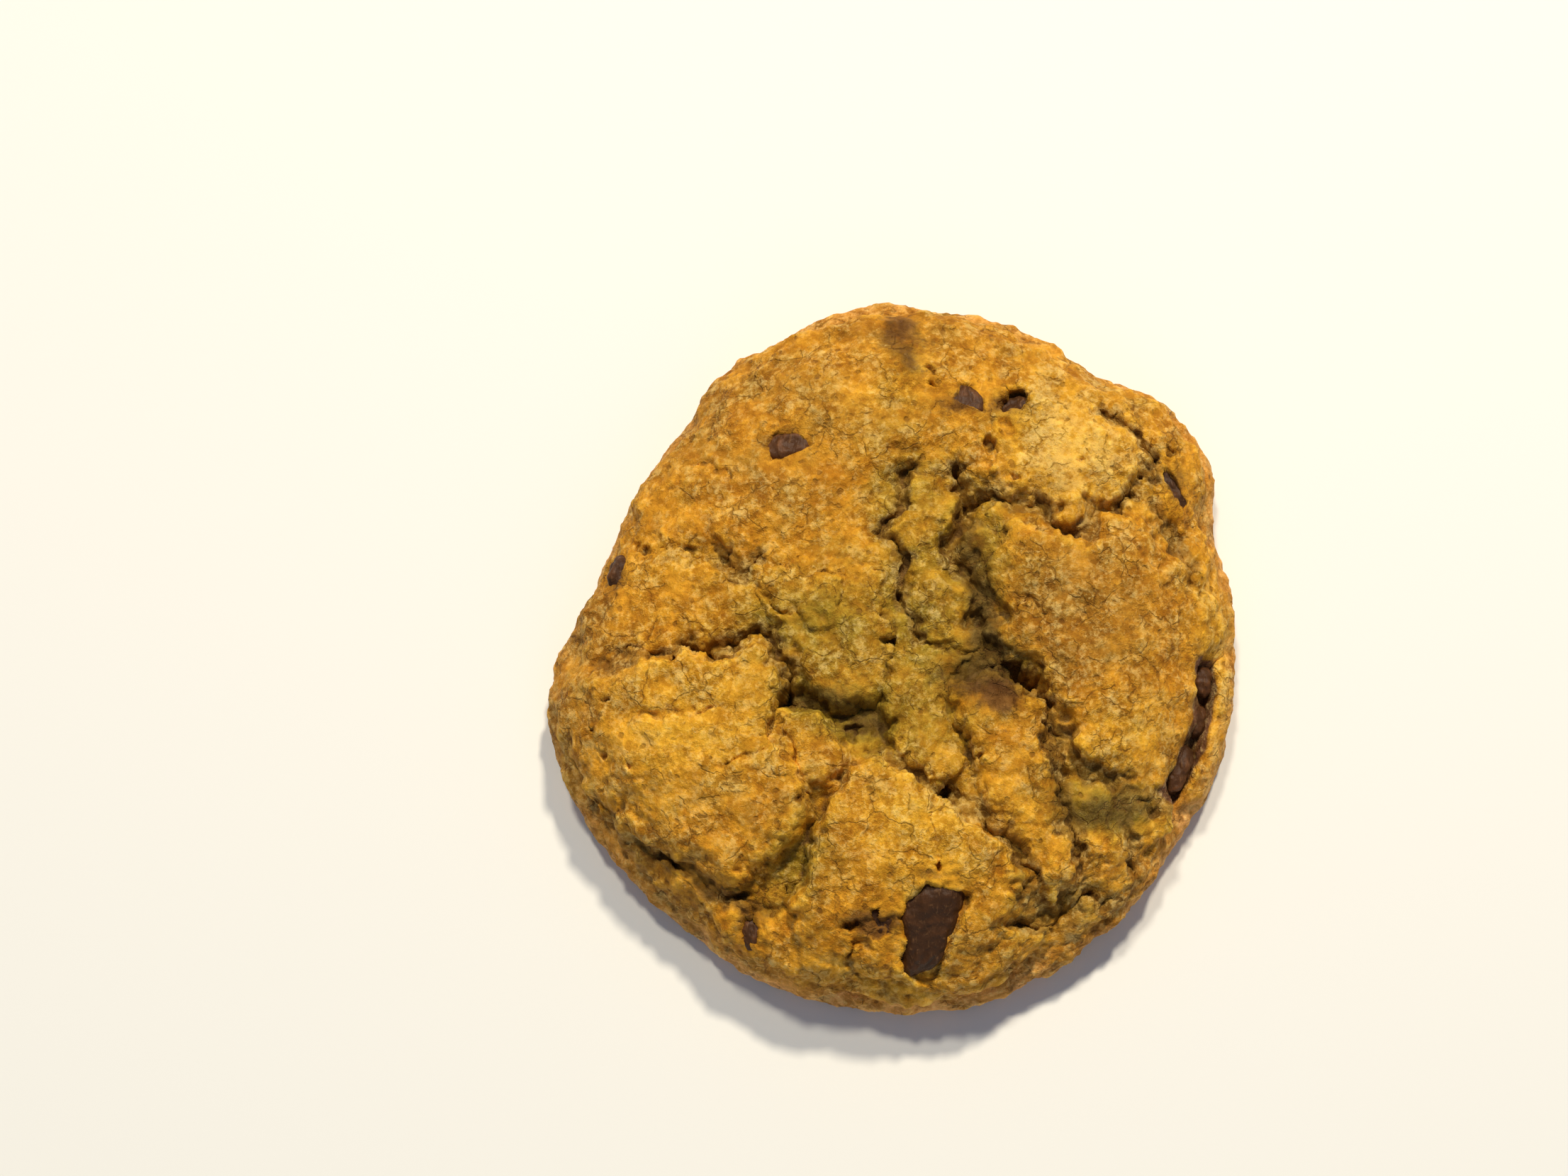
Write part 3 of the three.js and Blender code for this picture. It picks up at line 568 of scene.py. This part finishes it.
# Patches of the finish: x, y, reach in x and y, amount. Pale is paler crust and partly painted light on the
# lit slabs, brown is browner crust and towards the back painted shade, the sheen patches are painted sheen of
# butter, the valley patches are painted shade over darker crumb deep in the valleys, stain the chocolate that
# shows through and moist the shine in the hollows
patches = {
    # Paler crust, partly painted light where the left, front and shiny slabs catch the lamps
    "pale": [
        (20, 22, 7, 6, 1.3), (3, -19, 8, 7, 0.9), (-22, -8, 10, 8, 0.9), (17, 29, 5, 4, 0.7),
        (24, -9, 5, 5, 0.8), (36, 2, 3, 14, 0.7), (20, -28, 5, 5, 0.5), (0, -36, 9, 3, 0.5),
        (-4, 29, 9, 5, 0.4), (4, 11, 3, 6, 0.4), (-24, 10, 5, 3, 0.4), (14, -18, 3, 5, 0.3)],
    "olive": [
        (-8, 3, 8, 6, 1.2), (3, 13, 5, 8, 0.55), (4, 2, 5, 6, 0.5), (23, -17, 6, 3.0, 1.2),
        (4, -9, 6, 6, 0.7), (-6, -7, 7, 3.5, 1.0), (-10, -22, 4, 4, 0.9), (2, 33, 3, 4, 0.5),
        (12, 12, 4, 6, 0.5), (0, 22, 4, 6, 0.35), (12, -26, 4, 5, 0.3)],
    # Painted sheen of butter, most on the shiny slab
    "creamSheen": [(20, 22, 6, 5, 1.0), (17, 29, 5, 4, 0.5), (36, -6, 3, 10, 0.5), (-6, -12, 3, 3, 0.3)],
    # Browner baked crust, and towards the back painted shade
    "brown": [
        (-14, 18, 6, 5, 0.35), (-6, 26, 12, 7, 0.35), (20, 5, 9, 10, 0.9), (9, -3, 7, 4, 0.8),
        (-24, 26, 10, 7, 0.4), (-35, 2, 5, 16, 0.7), (12, -33, 10, 4, 0.3), (24, -26, 6, 6, 0.2),
        (2, 38, 9, 3, 0.6), (-16, 32, 10, 4, 0.5), (-27, -26, 8, 5, 0.6), (-18, -16, 9, 5, 0.3)],
    # Painted shade over darker crumb deep in the valleys and along the main crack
    "valleyShadeAndCrumb": [
        (8.6, 12, 2.2, 4.5, 0.7), (9.8, 5, 2.0, 4.5, 0.9), (10.4, -0.5, 2.4, 3.0, 0.9),
        (9.0, -2.6, 4.8, 2.6, 1.0), (-8.5, -5.0, 4.0, 1.6, 0.9), (-3.2, -7.4, 3.2, 2.6, 0.9),
        (17.2, -13, 1.6, 5, 0.5), (22.5, -17.2, 5.5, 2.4, 0.9), (-9.0, -17, 1.6, 3.0, 0.5),
        (-13.5, -27.5, 3.0, 1.8, 0.5), (13.4, -24, 1.4, 3.6, 0.5)],
    "stain": [
        (9.5, -4.4, 4.5, 2.4, 0.8), (11.6, -5.4, 1.8, 1.5, 1.2), (0.6, 38.6, 2.4, 3.2, 1.1),
        (1.4, 33.0, 1.6, 3.0, 0.7), (-12.2, 24.3, 3.6, 2.4, 0.6), (7, 28.6, 3.4, 1.8, 0.9),
        (-2.4, -29.6, 3.6, 1.7, 1.2), (4.8, -24.4, 3.4, 1.0, 0.75), (-7.0, 5.8, 3.2, 2.6, 0.35),
        (-15.6, -29.6, 2.0, 2.6, 0.9), (-19.8, -25.6, 4.5, 1.4, 0.6), (-25, -22.8, 2.6, 1.2, 0.5),
        (-4.5, -8.5, 4, 2.2, 0.5), (13, 28.6, 3.0, 2.4, 0.8), (13.2, 25, 1.2, 3.0, 0.5),
        (31.6, 19.4, 1.4, 3.0, 0.9), (-31, 9, 1.4, 2.4, 0.8), (-30.6, 16, 1.0, 1.8, 0.8),
        (33.6, 1.6, 1.3, 2.2, 0.6)],
    "moist": [
        (-10.5, -23.5, 3.2, 3.0, 1.0), (22, -17, 5, 2.6, 0.5), (-8, -6.5, 5, 2.2, 0.2), (19, 22, 6, 5, 0.5),
        (-8, -15, 2.2, 3.5, 0.6), (3.5, 33, 1.5, 3.5, 0.4)],
}

print("cookie: forming the dough")
deselectAll()
bpy.ops.mesh.primitive_ico_sphere_add(subdivisions=dough["ballSteps"], radius=1.0, location=(0, 0, 0))
cookie = bpy.context.object
cookie.name = "cookieDough"
mesh = cookie.data
directions = readPoints(mesh)
directions /= np.linalg.norm(directions, axis=1, keepdims=True)
triangles = readTriangles(mesh)
edges = readEdges(mesh)
count = len(directions)
points, isFoot, down, lift, nearest = cookieForm(directions)

# Dough that swelled at the slab edges, so that they round over and hang a little over the cracks
normals = averaged(normalsOf(points, triangles), edges, count, 2)
normals /= np.maximum(np.linalg.norm(normals, axis=1, keepdims=True), 1e-9)
flatLow = averaged(points[:, 2], edges, count, 14)
proud = smooth(*dough["proudFrom"], points[:, 2] - flatLow)
bodyMask = np.where(isFoot, 0, 1) * (1 - smooth(0.8, 1, down))
swollen = dough["inflateLeast"] + (1 - dough["inflateLeast"]) * proud
points += normals * (dough["inflate"] * bodyMask * swollen)[:, None]

# Crumb: lumps over the whole crust, larger beside the cracks and in the hollows
normals = normalsOf(points, triangles)
beside = np.exp(-np.maximum(nearest, 0) / dough["crackNear"])
sunk = smooth(*dough["sunkFrom"], lift)
coarse = dough["coarseLeast"] + (1 - dough["coarseLeast"]) * np.maximum(beside, sunk)
size, reach = dough["wander"]
loose = points + reach * np.stack([noise(*(points / size).T, seed) for seed in (71, 72, 73)], 1)
x, y = points[:, 0], points[:, 1] + form["layoutShift"]
moist = np.clip(patchSum(x, y, patches["moist"]), 0, 1)
crumb = np.zeros(count)
for size, deep, seed, keeps in dough["lumps"]:
    crumb += deep * (1 - keeps + keeps * coarse) * grains(*loose.T, size, seed)
for size, deep, seed, keeps in dough["torn"]:
    crumb += deep * (1 - keeps + keeps * coarse) * noise(*(points / size).T, seed)
crumb *= (dough["footCrumb"] + (1 - dough["footCrumb"]) * bodyMask) * (1 - dough["moistCalm"] * moist)
points += normals * crumb[:, None]

# Slot over the lip, at the right
angle = np.arctan2(points[:, 1], points[:, 0])
size, reach = slotShape["wander"]
inset = outline(angle) - np.hypot(points[:, 0], points[:, 1]) + reach * noise(*(points / size).T, 67)
slot = smooth(*slotShape["along"], lipAt(angle)) * smooth(*slotShape["height"], points[:, 2])
slot *= 1 - smooth(*slotShape["across"], np.abs(inset - slotShape["inset"]))
points[:, 2] -= slotShape["deep"] * slot * smooth(*slotShape["deepHeight"], points[:, 2])
crest, pressed = dough["crest"]
points[:, 2] -= pressed * np.maximum(points[:, 2] - crest, 0)
points[:, 2] = np.maximum(points[:, 2], 0)

# Masks for the finish
normals = normalsOf(points, triangles)
near = averaged(points, edges, count, 6)
wide = averaged(near, edges, count, 40)
cavityFine = np.sum((near - points) * normals, 1)
cavityWide = np.sum((wide - points) * normals, 1)
x, y = points[:, 0], points[:, 1] + form["layoutShift"]
z = points[:, 2]
masks = {
    # cavity and pit mark the hollows and pits that get painted shade
    "cavity": smooth(0.2, 1.1, cavityWide),
    "pit": smooth(0.02, 0.2, cavityFine),
    # ridge lightens the fine bumps as painted highlight
    "ridge": smooth(0.02, 0.18, -cavityFine),
    # edge lightens the proud slab edges as painted highlight
    "edge": smooth(0.12, 0.6, -cavityWide),
    # seam darkens along the cracks, partly darker crumb and partly painted shade in the crevices
    "seam": (1 - smooth(-0.2, 1.0, nearest)) * np.where(isFoot, 0, 1) * (1 - smooth(0.3, 0.5, down)),
    "sunk": sunk,
    "slot": slot,
    "rim": 1 - smooth(2.5, 8.5, z),
    "under": smooth(1.2, 0.2, z),
}
topness = smooth(3.0, 9.0, z)
for name, spots in patches.items():
    masks[name] = patchSum(x, y, spots) * (1 if name == "brown" else topness)  # brown goes on down the wall
writePoints(mesh, points * mm)
for name, values in masks.items():
    addMask(mesh, name, values)
slim = cookie.modifiers.new("slim", "DECIMATE")
slim.ratio = dough["keepShare"]
applyModifier(cookie, "slim")
slimPoints = readPoints(cookie.data)
slimPoints[:, 2] = np.maximum(slimPoints[:, 2], 0)
writePoints(cookie.data, slimPoints)
bpy.ops.object.shade_smooth()
print("cookie: dough has", len(cookie.data.polygons), "faces")


# Chips

chips = {
    "chip_front": {"half": (3.25, 5.6, 2.9), "turn": 0, "deep": 0.4, "smeared": 0.15, "taper": 0.3,
                   "shear": 0.17},
    "chip_front_left": {"half": (2.5, 1.5, 1.6), "turn": -14, "deep": 0.5, "smeared": 0.35},
    "chip_far_left": {"half": (2.9, 1.8, 1.7), "turn": 4, "deep": 0.15, "smeared": 0.9},
    "chip_back_middle": {"half": (2.6, 1.9, 1.5), "turn": -38, "deep": 0.2, "smeared": 0.85},
    "chip_back_right": {"half": (2.0, 2.0, 1.7), "turn": 20, "deep": 1.0},
    "chip_low_left": {"half": (1.5, 2.0, 1.7), "turn": 24, "deep": 0.7, "smeared": 0.4},
    "chip_right_upper": {"half": (1.7, 1.1, 1.3), "turn": 86, "smeared": 0.7},
    "chip_right_middle": {"half": (1.8, 1.2, 1.4), "turn": 79, "smeared": 0.7},
    "chip_right_lower": {"half": (2.8, 1.2, 1.6), "turn": 69, "smeared": 0.5},
    "chip_right_back": {"half": (2.8, 1.2, 1.4), "turn": -64, "deep": 0.45},
    "chip_left_upper": {"half": (2.1, 1.3, 1.5), "turn": 253},
}

# What all chips share, in mm: size, amount and seed of the unevenness, the folds and the flakes
chipShape = {
    "ballSteps": 6,
    "blockPower": 3.4,  # chips in an opening are blocks, the others rounder
    "roundPower": 2.5,
    "uneven": (1 / 1.3, 0.16, 50),
    "folds": (1.6, 0.3, 80),
    "flakes": (0.6, 0.09, 81),
    "middle": 0.08,
    "foldFrom": (0.06, 0.2),
    "smeared": 0.25,
    "levelReach": 2.5,  # half side and steps of the square of crust that gives a chip its slope
    "levelSteps": 11,
    "wallFall": 9.0,
}


# Where the crust would lie over a chip, and which way it faces there
def crustOver(x, y):
    reach = np.linspace(-chipShape["levelReach"], chipShape["levelReach"], chipShape["levelSteps"])
    gx, gy = (a.ravel() for a in np.meshgrid(reach + x, reach + y))
    share = np.hypot(gx, gy) / shoulderReach(np.arctan2(gy, gx))
    height = crown(np.minimum(share, 1)) - chipShape["wallFall"] * np.maximum(share - 1, 0)
    height += relief(gx, gy, False)[0]
    slope = np.linalg.lstsq(np.stack([gx - x, gy - y, np.ones(len(gx))], 1), height, rcond=None)[0]
    return Vector((x, y, slope[2] + dough["inflate"])), Vector((-slope[0], -slope[1], 1)).normalized()


print("cookie: chips")
chipPieces = {}
for index, (node, chip) in enumerate(chips.items()):
    deselectAll()
    bpy.ops.mesh.primitive_ico_sphere_add(subdivisions=chipShape["ballSteps"], radius=1.0, location=(0, 0, 0))
    piece = bpy.context.object
    piece.name = node.replace("_", "") + "Piece"
    d = readPoints(piece.data)
    d /= np.linalg.norm(d, axis=1, keepdims=True)
    power = chipShape["blockPower"] if node in openings else chipShape["roundPower"]
    wave, amount, seed = chipShape["uneven"]
    size = np.sum(np.abs(d) ** power, 1) ** (-1 / power) * (1 + amount * noise(*(d / wave).T, seed + index))
    p = d * size[:, None] * np.array(chip["half"])
    n = normalsOf(p, readTriangles(piece.data))
    wave, amount, seed = chipShape["folds"]
    flake = amount * np.abs(noise(*(p / wave).T, seed + index))
    wave, amount, seed = chipShape["flakes"]
    flake += amount * noise(*(p / wave).T, seed + index)
    p += n * (flake - chipShape["middle"])[:, None]
    upward = p[:, 1] / chip["half"][1]
    p[:, 0] = p[:, 0] * (1 + chip.get("taper", 0) * upward) + chip.get("shear", 0) * p[:, 1]
    turn = Matrix.Rotation(math.radians(chip["turn"]), 3, "Z")
    if node in openings:
        ring = openings[node][1]
        over, facing = crustOver(sum(c[0] for c in ring) / len(ring),
                                 sum(c[1] for c in ring) / len(ring) - form["layoutShift"])
        turn = Vector((0, 0, 1)).rotation_difference(facing).to_matrix() @ turn
        middle = np.array(over - facing * (chip["half"][2] + chip["deep"]))
        p = p @ np.array(turn).T + middle
    else:
        low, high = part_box(node)
        p = p @ np.array(turn).T
        p += (np.array(low) + np.array(high)) / 2 / mm - (p.max(0) + p.min(0)) / 2
    writePoints(piece.data, p * mm)
    addMask(piece.data, "smeared", np.full(len(p), chip.get("smeared", chipShape["smeared"])))
    addMask(piece.data, "fold", smooth(*chipShape["foldFrom"], flake))
    bpy.ops.object.shade_smooth()
    chipPieces[node] = piece


# Shader maths

class Wire:
    def __init__(self, tree, socket=None):
        self.tree = tree
        self.socket = socket

    def make(self, kind, settings=None, inputs=None, out=0):
        node = self.tree.nodes.new(kind)
        for name, value in (settings or {}).items():
            setattr(node, name, value)
        for name, value in (inputs or {}).items():
            if isinstance(value, Wire):
                self.tree.links.new(value.socket, node.inputs[name])
            else:
                node.inputs[name].default_value = value
        return Wire(self.tree, node.outputs[out])

    def maths(self, operation, a, b, clamp=False):
        return self.make("ShaderNodeMath", {"operation": operation, "use_clamp": clamp}, {0: a, 1: b})

    def __add__(self, other):
        return self.maths("ADD", self, other)

    def __radd__(self, other):
        return self.maths("ADD", other, self)

    def __sub__(self, other):
        return self.maths("SUBTRACT", self, other)

    def __rsub__(self, other):
        return self.maths("SUBTRACT", other, self)

    def __mul__(self, other):
        return self.maths("MULTIPLY", self, other)

    def held(self):
        return self.maths("ADD", self, 0.0, clamp=True)

    def between(self, low, high):
        return self.make("ShaderNodeMapRange", {"interpolation_type": "SMOOTHSTEP", "clamp": True},
                         {"Value": self, "From Min": low, "From Max": high})

    def mask(self, name):
        return self.make("ShaderNodeAttribute", {"attribute_name": name}, out="Fac")

    def mixed(self, share, first, second, blend="MIX"):
        return self.make("ShaderNodeMix", {"data_type": "RGBA", "blend_type": blend},
                         {0: share, 6: first, 7: second}, out=2)

    def grain(self, place, size, detail=2.0, rough=0.5, warp=0.0, out=0):
        return self.make("ShaderNodeTexNoise", None, {"Vector": place, "Scale": 1 / size, "Detail": detail,
                                                      "Roughness": rough, "Distortion": warp}, out=out)

    def cells(self, place, size, out="Color", feature="F1"):
        return self.make("ShaderNodeTexVoronoi", {"feature": feature}, {"Vector": place, "Scale": 1 / size},
                         out=out)

    # The place, shifted by a coloured noise of that size
    def shifted(self, place, size, detail, reach):
        return self.make("ShaderNodeVectorMath", {"operation": "MULTIPLY_ADD"},
                         {0: self.grain(place, size, detail, out="Color"), 1: (reach,) * 3, 2: place})


def linear(red, green, blue):
    def one(value):
        value /= 255
        return value / 12.92 if value <= 0.04045 else ((value + 0.055) / 1.055) ** 2.4
    return (one(red), one(green), one(blue), 1.0)


def newMaterial(name):
    material = bpy.data.materials.new(name)
    material.use_nodes = True
    tree = material.node_tree
    for node in list(tree.nodes):
        tree.nodes.remove(node)
    start = Wire(tree)
    surface = tree.nodes.new("ShaderNodeBsdfPrincipled")
    output = tree.nodes.new("ShaderNodeOutputMaterial")
    tree.links.new(surface.outputs[0], output.inputs["Surface"])
    return material, start, surface


def feed(surface, name, value):
    if isinstance(value, Wire):
        value.tree.links.new(value.socket, surface.inputs[name])
    else:
        surface.inputs[name].default_value = value


crust = {
    "golden": linear(230, 154, 22),
    # Paler crust, also used for painted light on the lit slabs and edges
    "pale": linear(255, 189, 36),
    "olive": linear(163, 134, 24),
    "brown": linear(164, 112, 26),
    # Colour of the painted glints and sheen, partly pale crumbs
    "creamSheen": linear(252, 219, 136),
    "rim": linear(252, 178, 80),
    "darkGrain": (0.52, 0.43, 0.2, 1.0),
    "lightGrain": (1.4, 1.48, 2.1, 1.0),
    "darkPatch": (0.76, 0.71, 0.46, 1.0),
    "lightPatch": (1.15, 1.25, 2.2, 1.0),
    # Hollow and deep are painted shade in the pits, hollows and cracks; hollow also colours the dark flecks
    "hollow": linear(134, 95, 32),
    "deep": linear(88, 62, 24),
    # Painted shade over darker crumb in the valleys
    "valleyShadeAndCrumb": linear(98, 74, 20),
    "stain": linear(100, 60, 17),
    "line": linear(104, 62, 14),
    "melted": linear(126, 80, 38),
    "underside": linear(150, 94, 32),
    "roughness": 0.7,
    "moistRoughness": 0.3,
    "specular": 0.22,
    "subsurface": (0.08, (1.0, 0.5, 0.2), 0.001),  # weight, radius, scale
    "bump": (0.9, 0.0004),  # strength, height in metres
}

# Grain of the crust: size in metres, detail, roughness, warp
crustGrain = {
    "broad": (0.008, 3, 0.55),
    "blotch": (0.0024, 3, 0.6),
    "crumbs": (0.0011, 5, 0.75),
    "fine": (0.0004, 4, 0.75),
    "lively": (0.0046, 3, 0.6),
    "fleck": (0.0018, 6, 0.85),
    "patchy": (0.0028, 6, 0.72, 0.4),
    "loose": (0.0006, 2, 0.0006),  # size, detail and reach of the shift, here and in the next line
    "looser": (0.002, 3, 0.003),
    "large": 0.0007,  # sizes of the cells
    "small": 0.00036,
    "pinholes": 0.0021,
    "crackle": 0.0042,
}


def crustMaterial():
    material, start, surface = newMaterial("bakedDough")
    place = start.make("ShaderNodeTexCoord", out="Object")
    broad, blotch, crumbs, fine, lively, fleck, patchy = (
        start.grain(place, *crustGrain[name])
        for name in ("broad", "blotch", "crumbs", "fine", "lively", "fleck", "patchy"))
    lively = lively.between(0.32, 0.66)
    patchy = patchy.between(0.36, 0.62)
    loose = start.shifted(place, *crustGrain["loose"])
    looser = start.shifted(place, *crustGrain["looser"])
    large = start.cells(loose, crustGrain["large"])
    small = start.cells(loose, crustGrain["small"])
    mask = start.mask
    blotchy, crumbly, broadly = blotch - 0.5, crumbs - 0.5, broad - 0.5
    # Grain of the crumb, with painted highlight on the fine ridges and painted shade in the pits
    speckle = (large * 0.24 + small * 0.16 + crumbly * 1.5 + blotchy * 0.6 + 0.3
               + mask("ridge") * 0.1 - mask("pit") * 0.12).between(0.1, 0.95)

    # Layers of the crust's colour, each with the share in which it covers what is below
    layers = [
        ("rim", mask("rim").held() * 0.75),
        # Paler crust, partly painted light on the slabs that face the lamps
        ("pale", (mask("pale") + broadly * 1.3).held() * 0.75),
        # Browner baked crust, and towards the back painted shade
        ("brown", (mask("brown") + broadly * 1.4 + blotchy * 1.4).held() * 0.8),
        # Painted highlight on the proud slab edges
        ("pale", (mask("edge") * (0.2 + blotch)).held() * 0.6),
        ("olive", (mask("olive") * 0.8 + mask("sunk") * 0.45 + blotchy * 1.2).held() * 0.85),
        # Painted shade in the pits and hollows, darker still in the deepest
        ("hollow", (mask("pit") * 0.5).held()),
        ("hollow", (mask("cavity") + blotchy * 0.6).between(0.1, 0.9) * 0.75),
        ("deep", mask("cavity").between(0.65, 1.0) * 0.5),
        # Along the cracks: partly darker crumb, partly painted shade in the crevices
        ("hollow", (mask("seam") + blotchy * 1.1).between(0.2, 0.9) * 0.55),
        # Painted shade over darker crumb deep in the valleys
        ("valleyShadeAndCrumb", (mask("valleyShadeAndCrumb") + blotchy * 0.9 + crumbly * 0.8).between(0.15, 0.95) * 0.8),
        ("stain", (mask("stain") + blotchy * 1.6 + crumbly * 1.2).between(0.2, 1.1) * 0.85),
        ("melted", (mask("slot") + blotchy * 0.8).between(0.25, 0.6)),
        ("underside", mask("under").held() * 0.7),
    ]
    colour = crust["golden"]
    for name, share in layers:
        colour = start.mixed(share, colour, crust[name])
    speckled = start.mixed(speckle, crust["darkGrain"], crust["lightGrain"])
    colour = start.mixed(lively * 0.6 + 0.45, colour, speckled, "MULTIPLY")
    colour = start.mixed(fleck.between(0.58, 0.67) * 0.65, colour, crust["hollow"])

    # Pinholes and the lines of a crackled skin
    pinholes = 1 - start.cells(loose, crustGrain["pinholes"], "Distance").between(0.1, 0.2)
    crackle = start.cells(looser, crustGrain["crackle"], "Distance", "DISTANCE_TO_EDGE")
    crackle = (1 - crackle.between(0.0, 0.04)) * (blotch + lively * 0.3).between(0.55, 0.75)
    lines = (pinholes + crackle).held()
    colour = start.mixed(lines * 0.45, colour, crust["line"])
    patched = start.mixed(patchy, crust["darkPatch"], crust["lightPatch"])
    colour = start.mixed(1.0, colour, patched, "MULTIPLY")

    # Painted glints: small bright places of the grain, partly pale crumbs and partly painted highlight, with
    # painted sheen on the shiny slab, fewer in the hollows, the painted valley shade and the stains
    glint = large * 0.45 + small * 0.25 + (fine - 0.5) * 0.9 + crumbly * 1.2 + blotchy * 0.8 + 0.15
    glint = glint + mask("creamSheen") * 0.3 + mask("pale") * 0.06
    glint = (glint - mask("cavity") * 0.5 - mask("valleyShadeAndCrumb") * 0.4 - mask("stain") * 0.5).between(0.42, 0.95)
    colour = start.mixed(glint * (0.26 + lively * 0.26) * (1 - lines * 0.8), colour, crust["creamSheen"])
    feed(surface, "Base Color", colour)

    wet = (mask("moist") * 1.1).held() * (crust["roughness"] - crust["moistRoughness"])
    weight, radius, scale = crust["subsurface"]
    feed(surface, "Roughness", crust["roughness"] - wet + (fine - 0.5) * 0.25)
    feed(surface, "Specular IOR Level", crust["specular"])
    feed(surface, "Subsurface Weight", weight)
    feed(surface, "Subsurface Radius", radius)
    feed(surface, "Subsurface Scale", scale)
    strength, distance = crust["bump"]
    height = (crumbs * 0.6 + fine * 0.4 + speckle * 0.4) * (0.55 + lively * 0.7)
    height = height - pinholes * 0.35 - crackle * 0.35
    bump = start.make("ShaderNodeBump", None, {"Strength": strength, "Distance": distance, "Height": height})
    feed(surface, "Normal", bump)
    return material


chocolate = {
    "dark": linear(62, 38, 18),
    "light": linear(118, 71, 34),
    "bloom": linear(160, 114, 70),
    "roughness": 0.5,
    "specular": 0.2,
    "bump": (0.6, 0.0003),  # strength, height in metres
    # Grain: size in metres, detail, roughness
    "broad": (0.003, 3, 0.6),
    "fine": (0.0005, 3, 0.6),
    "streak": (0.0004, 4, 0.6),
    "streakTurn": (0.0, 0.0, 0.6),
    "streakScale": (1.0, 0.2, 1.0),
}


def chocolateMaterial():
    material, start, surface = newMaterial("meltedChocolate")
    place = start.make("ShaderNodeTexCoord", out="Object")
    broad = start.grain(place, *chocolate["broad"])
    fine = start.grain(place, *chocolate["fine"])
    sheared = start.make("ShaderNodeMapping", None, {"Vector": place, "Rotation": chocolate["streakTurn"],
                                                     "Scale": chocolate["streakScale"]})
    streak = start.grain(sheared, *chocolate["streak"])
    share = (broad.between(0.4, 0.75) * 0.4 + start.mask("smeared") * 0.8) * (0.3 + start.mask("fold") * 0.7)
    colour = start.mixed(share.held(), chocolate["dark"], chocolate["light"])
    bloom = (fine.between(0.58, 0.78) + streak.between(0.55, 0.7)) * 0.28
    feed(surface, "Base Color", start.mixed(bloom, colour, chocolate["bloom"]))
    feed(surface, "Roughness", chocolate["roughness"] + (fine - 0.5) * 0.3)
    feed(surface, "Specular IOR Level", chocolate["specular"])
    strength, distance = chocolate["bump"]
    height = fine * 0.5 + streak * 0.8
    bump = start.make("ShaderNodeBump", None, {"Strength": strength, "Distance": distance, "Height": height})
    feed(surface, "Normal", bump)
    return material


print("cookie: materials")
cookie.data.materials.clear()
cookie.data.materials.append(crustMaterial())
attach(cookie, "root")
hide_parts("cookie")
chipFinish = chocolateMaterial()
for node, piece in chipPieces.items():
    piece.data.materials.clear()
    piece.data.materials.append(chipFinish)
    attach(piece, "root")
    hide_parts(node)


# Floor, light and camera

stage = {
    "floorColour": (0.95, 0.925, 0.83, 1),
    "floorGrain": (0.93, 0.905, 0.81, 1),
    "floorPatches": (0.2, 2),  # size in metres, detail
    "floorRoughness": 0.6,
    "floorSize": 4,
    "keyPlace": (0.27, 0.82, 1.12),
    "keySize": 0.13,
    "keyPower": 14.0,
    "keyColour": (1.0, 0.91, 0.76),
    "windowPlace": (-0.18, 0.60, 1.22),
    "windowSize": 0.16,
    "windowPower": 7.4,
    "windowColour": (1.0, 0.94, 0.82),
    "fillPlace": (0.1, -0.55, 0.30),
    "fillSize": 0.5,
    "fillPower": 0.35,
    "fillColour": (1.0, 0.97, 0.92),
    "worldColour": (0.56, 0.76, 1.2, 1),
    "worldStrength": 0.19,
}

deselectAll()
bpy.ops.mesh.primitive_plane_add(size=stage["floorSize"], location=(0, 0, 0))
floor = bpy.context.object
floor.name = "paleFloor"
floorFinish, start, surface = newMaterial("paleFloorFinish")
floorPlace = start.make("ShaderNodeTexCoord", out="Object")
floorShare = start.grain(floorPlace, *stage["floorPatches"]) * 0.6
feed(surface, "Base Color", start.mixed(floorShare, stage["floorColour"], stage["floorGrain"]))
feed(surface, "Roughness", stage["floorRoughness"])
floor.data.materials.append(floorFinish)


def areaLight(name, location, aim, size, power, colour):
    data = bpy.data.lights.new(name, "AREA")
    data.shape = "DISK"
    data.size = size
    data.energy = power
    data.color = colour
    lamp = bpy.data.objects.new(name, data)
    bpy.context.collection.objects.link(lamp)
    lamp.location = location
    lamp.rotation_euler = (Vector(aim) - Vector(location)).to_track_quat("-Z", "Y").to_euler()
    return lamp


for name in ("key", "window", "fill"):
    place, size, power, colour = (stage[name + end] for end in ("Place", "Size", "Power", "Colour"))
    areaLight(name + "Light", place, (0, 0, 0), size, power, colour)
world = bpy.data.worlds.new("softRoom")
bpy.context.scene.world = world
world.use_nodes = True
world.node_tree.nodes["Background"].inputs["Color"].default_value = stage["worldColour"]
world.node_tree.nodes["Background"].inputs["Strength"].default_value = stage["worldStrength"]

camera = {
    "lens": 60.0,
    "sensor": 36.0,
    "place": (0.0, -60.710, 293.619),
    "target": (-12.277, 7.709, 9.639),
}
cameraData = bpy.data.cameras.new("viewCamera")
cameraData.lens = camera["lens"]
cameraData.sensor_width = camera["sensor"]
cameraData.clip_start = 0.01
cameraObject = bpy.data.objects.new("viewCamera", cameraData)
bpy.context.collection.objects.link(cameraObject)
eye = Vector(camera["place"]) * mm
forward = (Vector(camera["target"]) * mm - eye).normalized()
side = (Vector((1, 0, 0)) - forward.x * forward).normalized()
top = side.cross(forward)
turned = Matrix((side, top, -forward)).transposed().to_4x4()
cameraObject.matrix_world = Matrix.Translation(eye) @ turned
bpy.context.scene.camera = cameraObject
bpy.context.scene.view_settings.view_transform = "Standard"
bpy.context.scene.view_settings.look = "None"
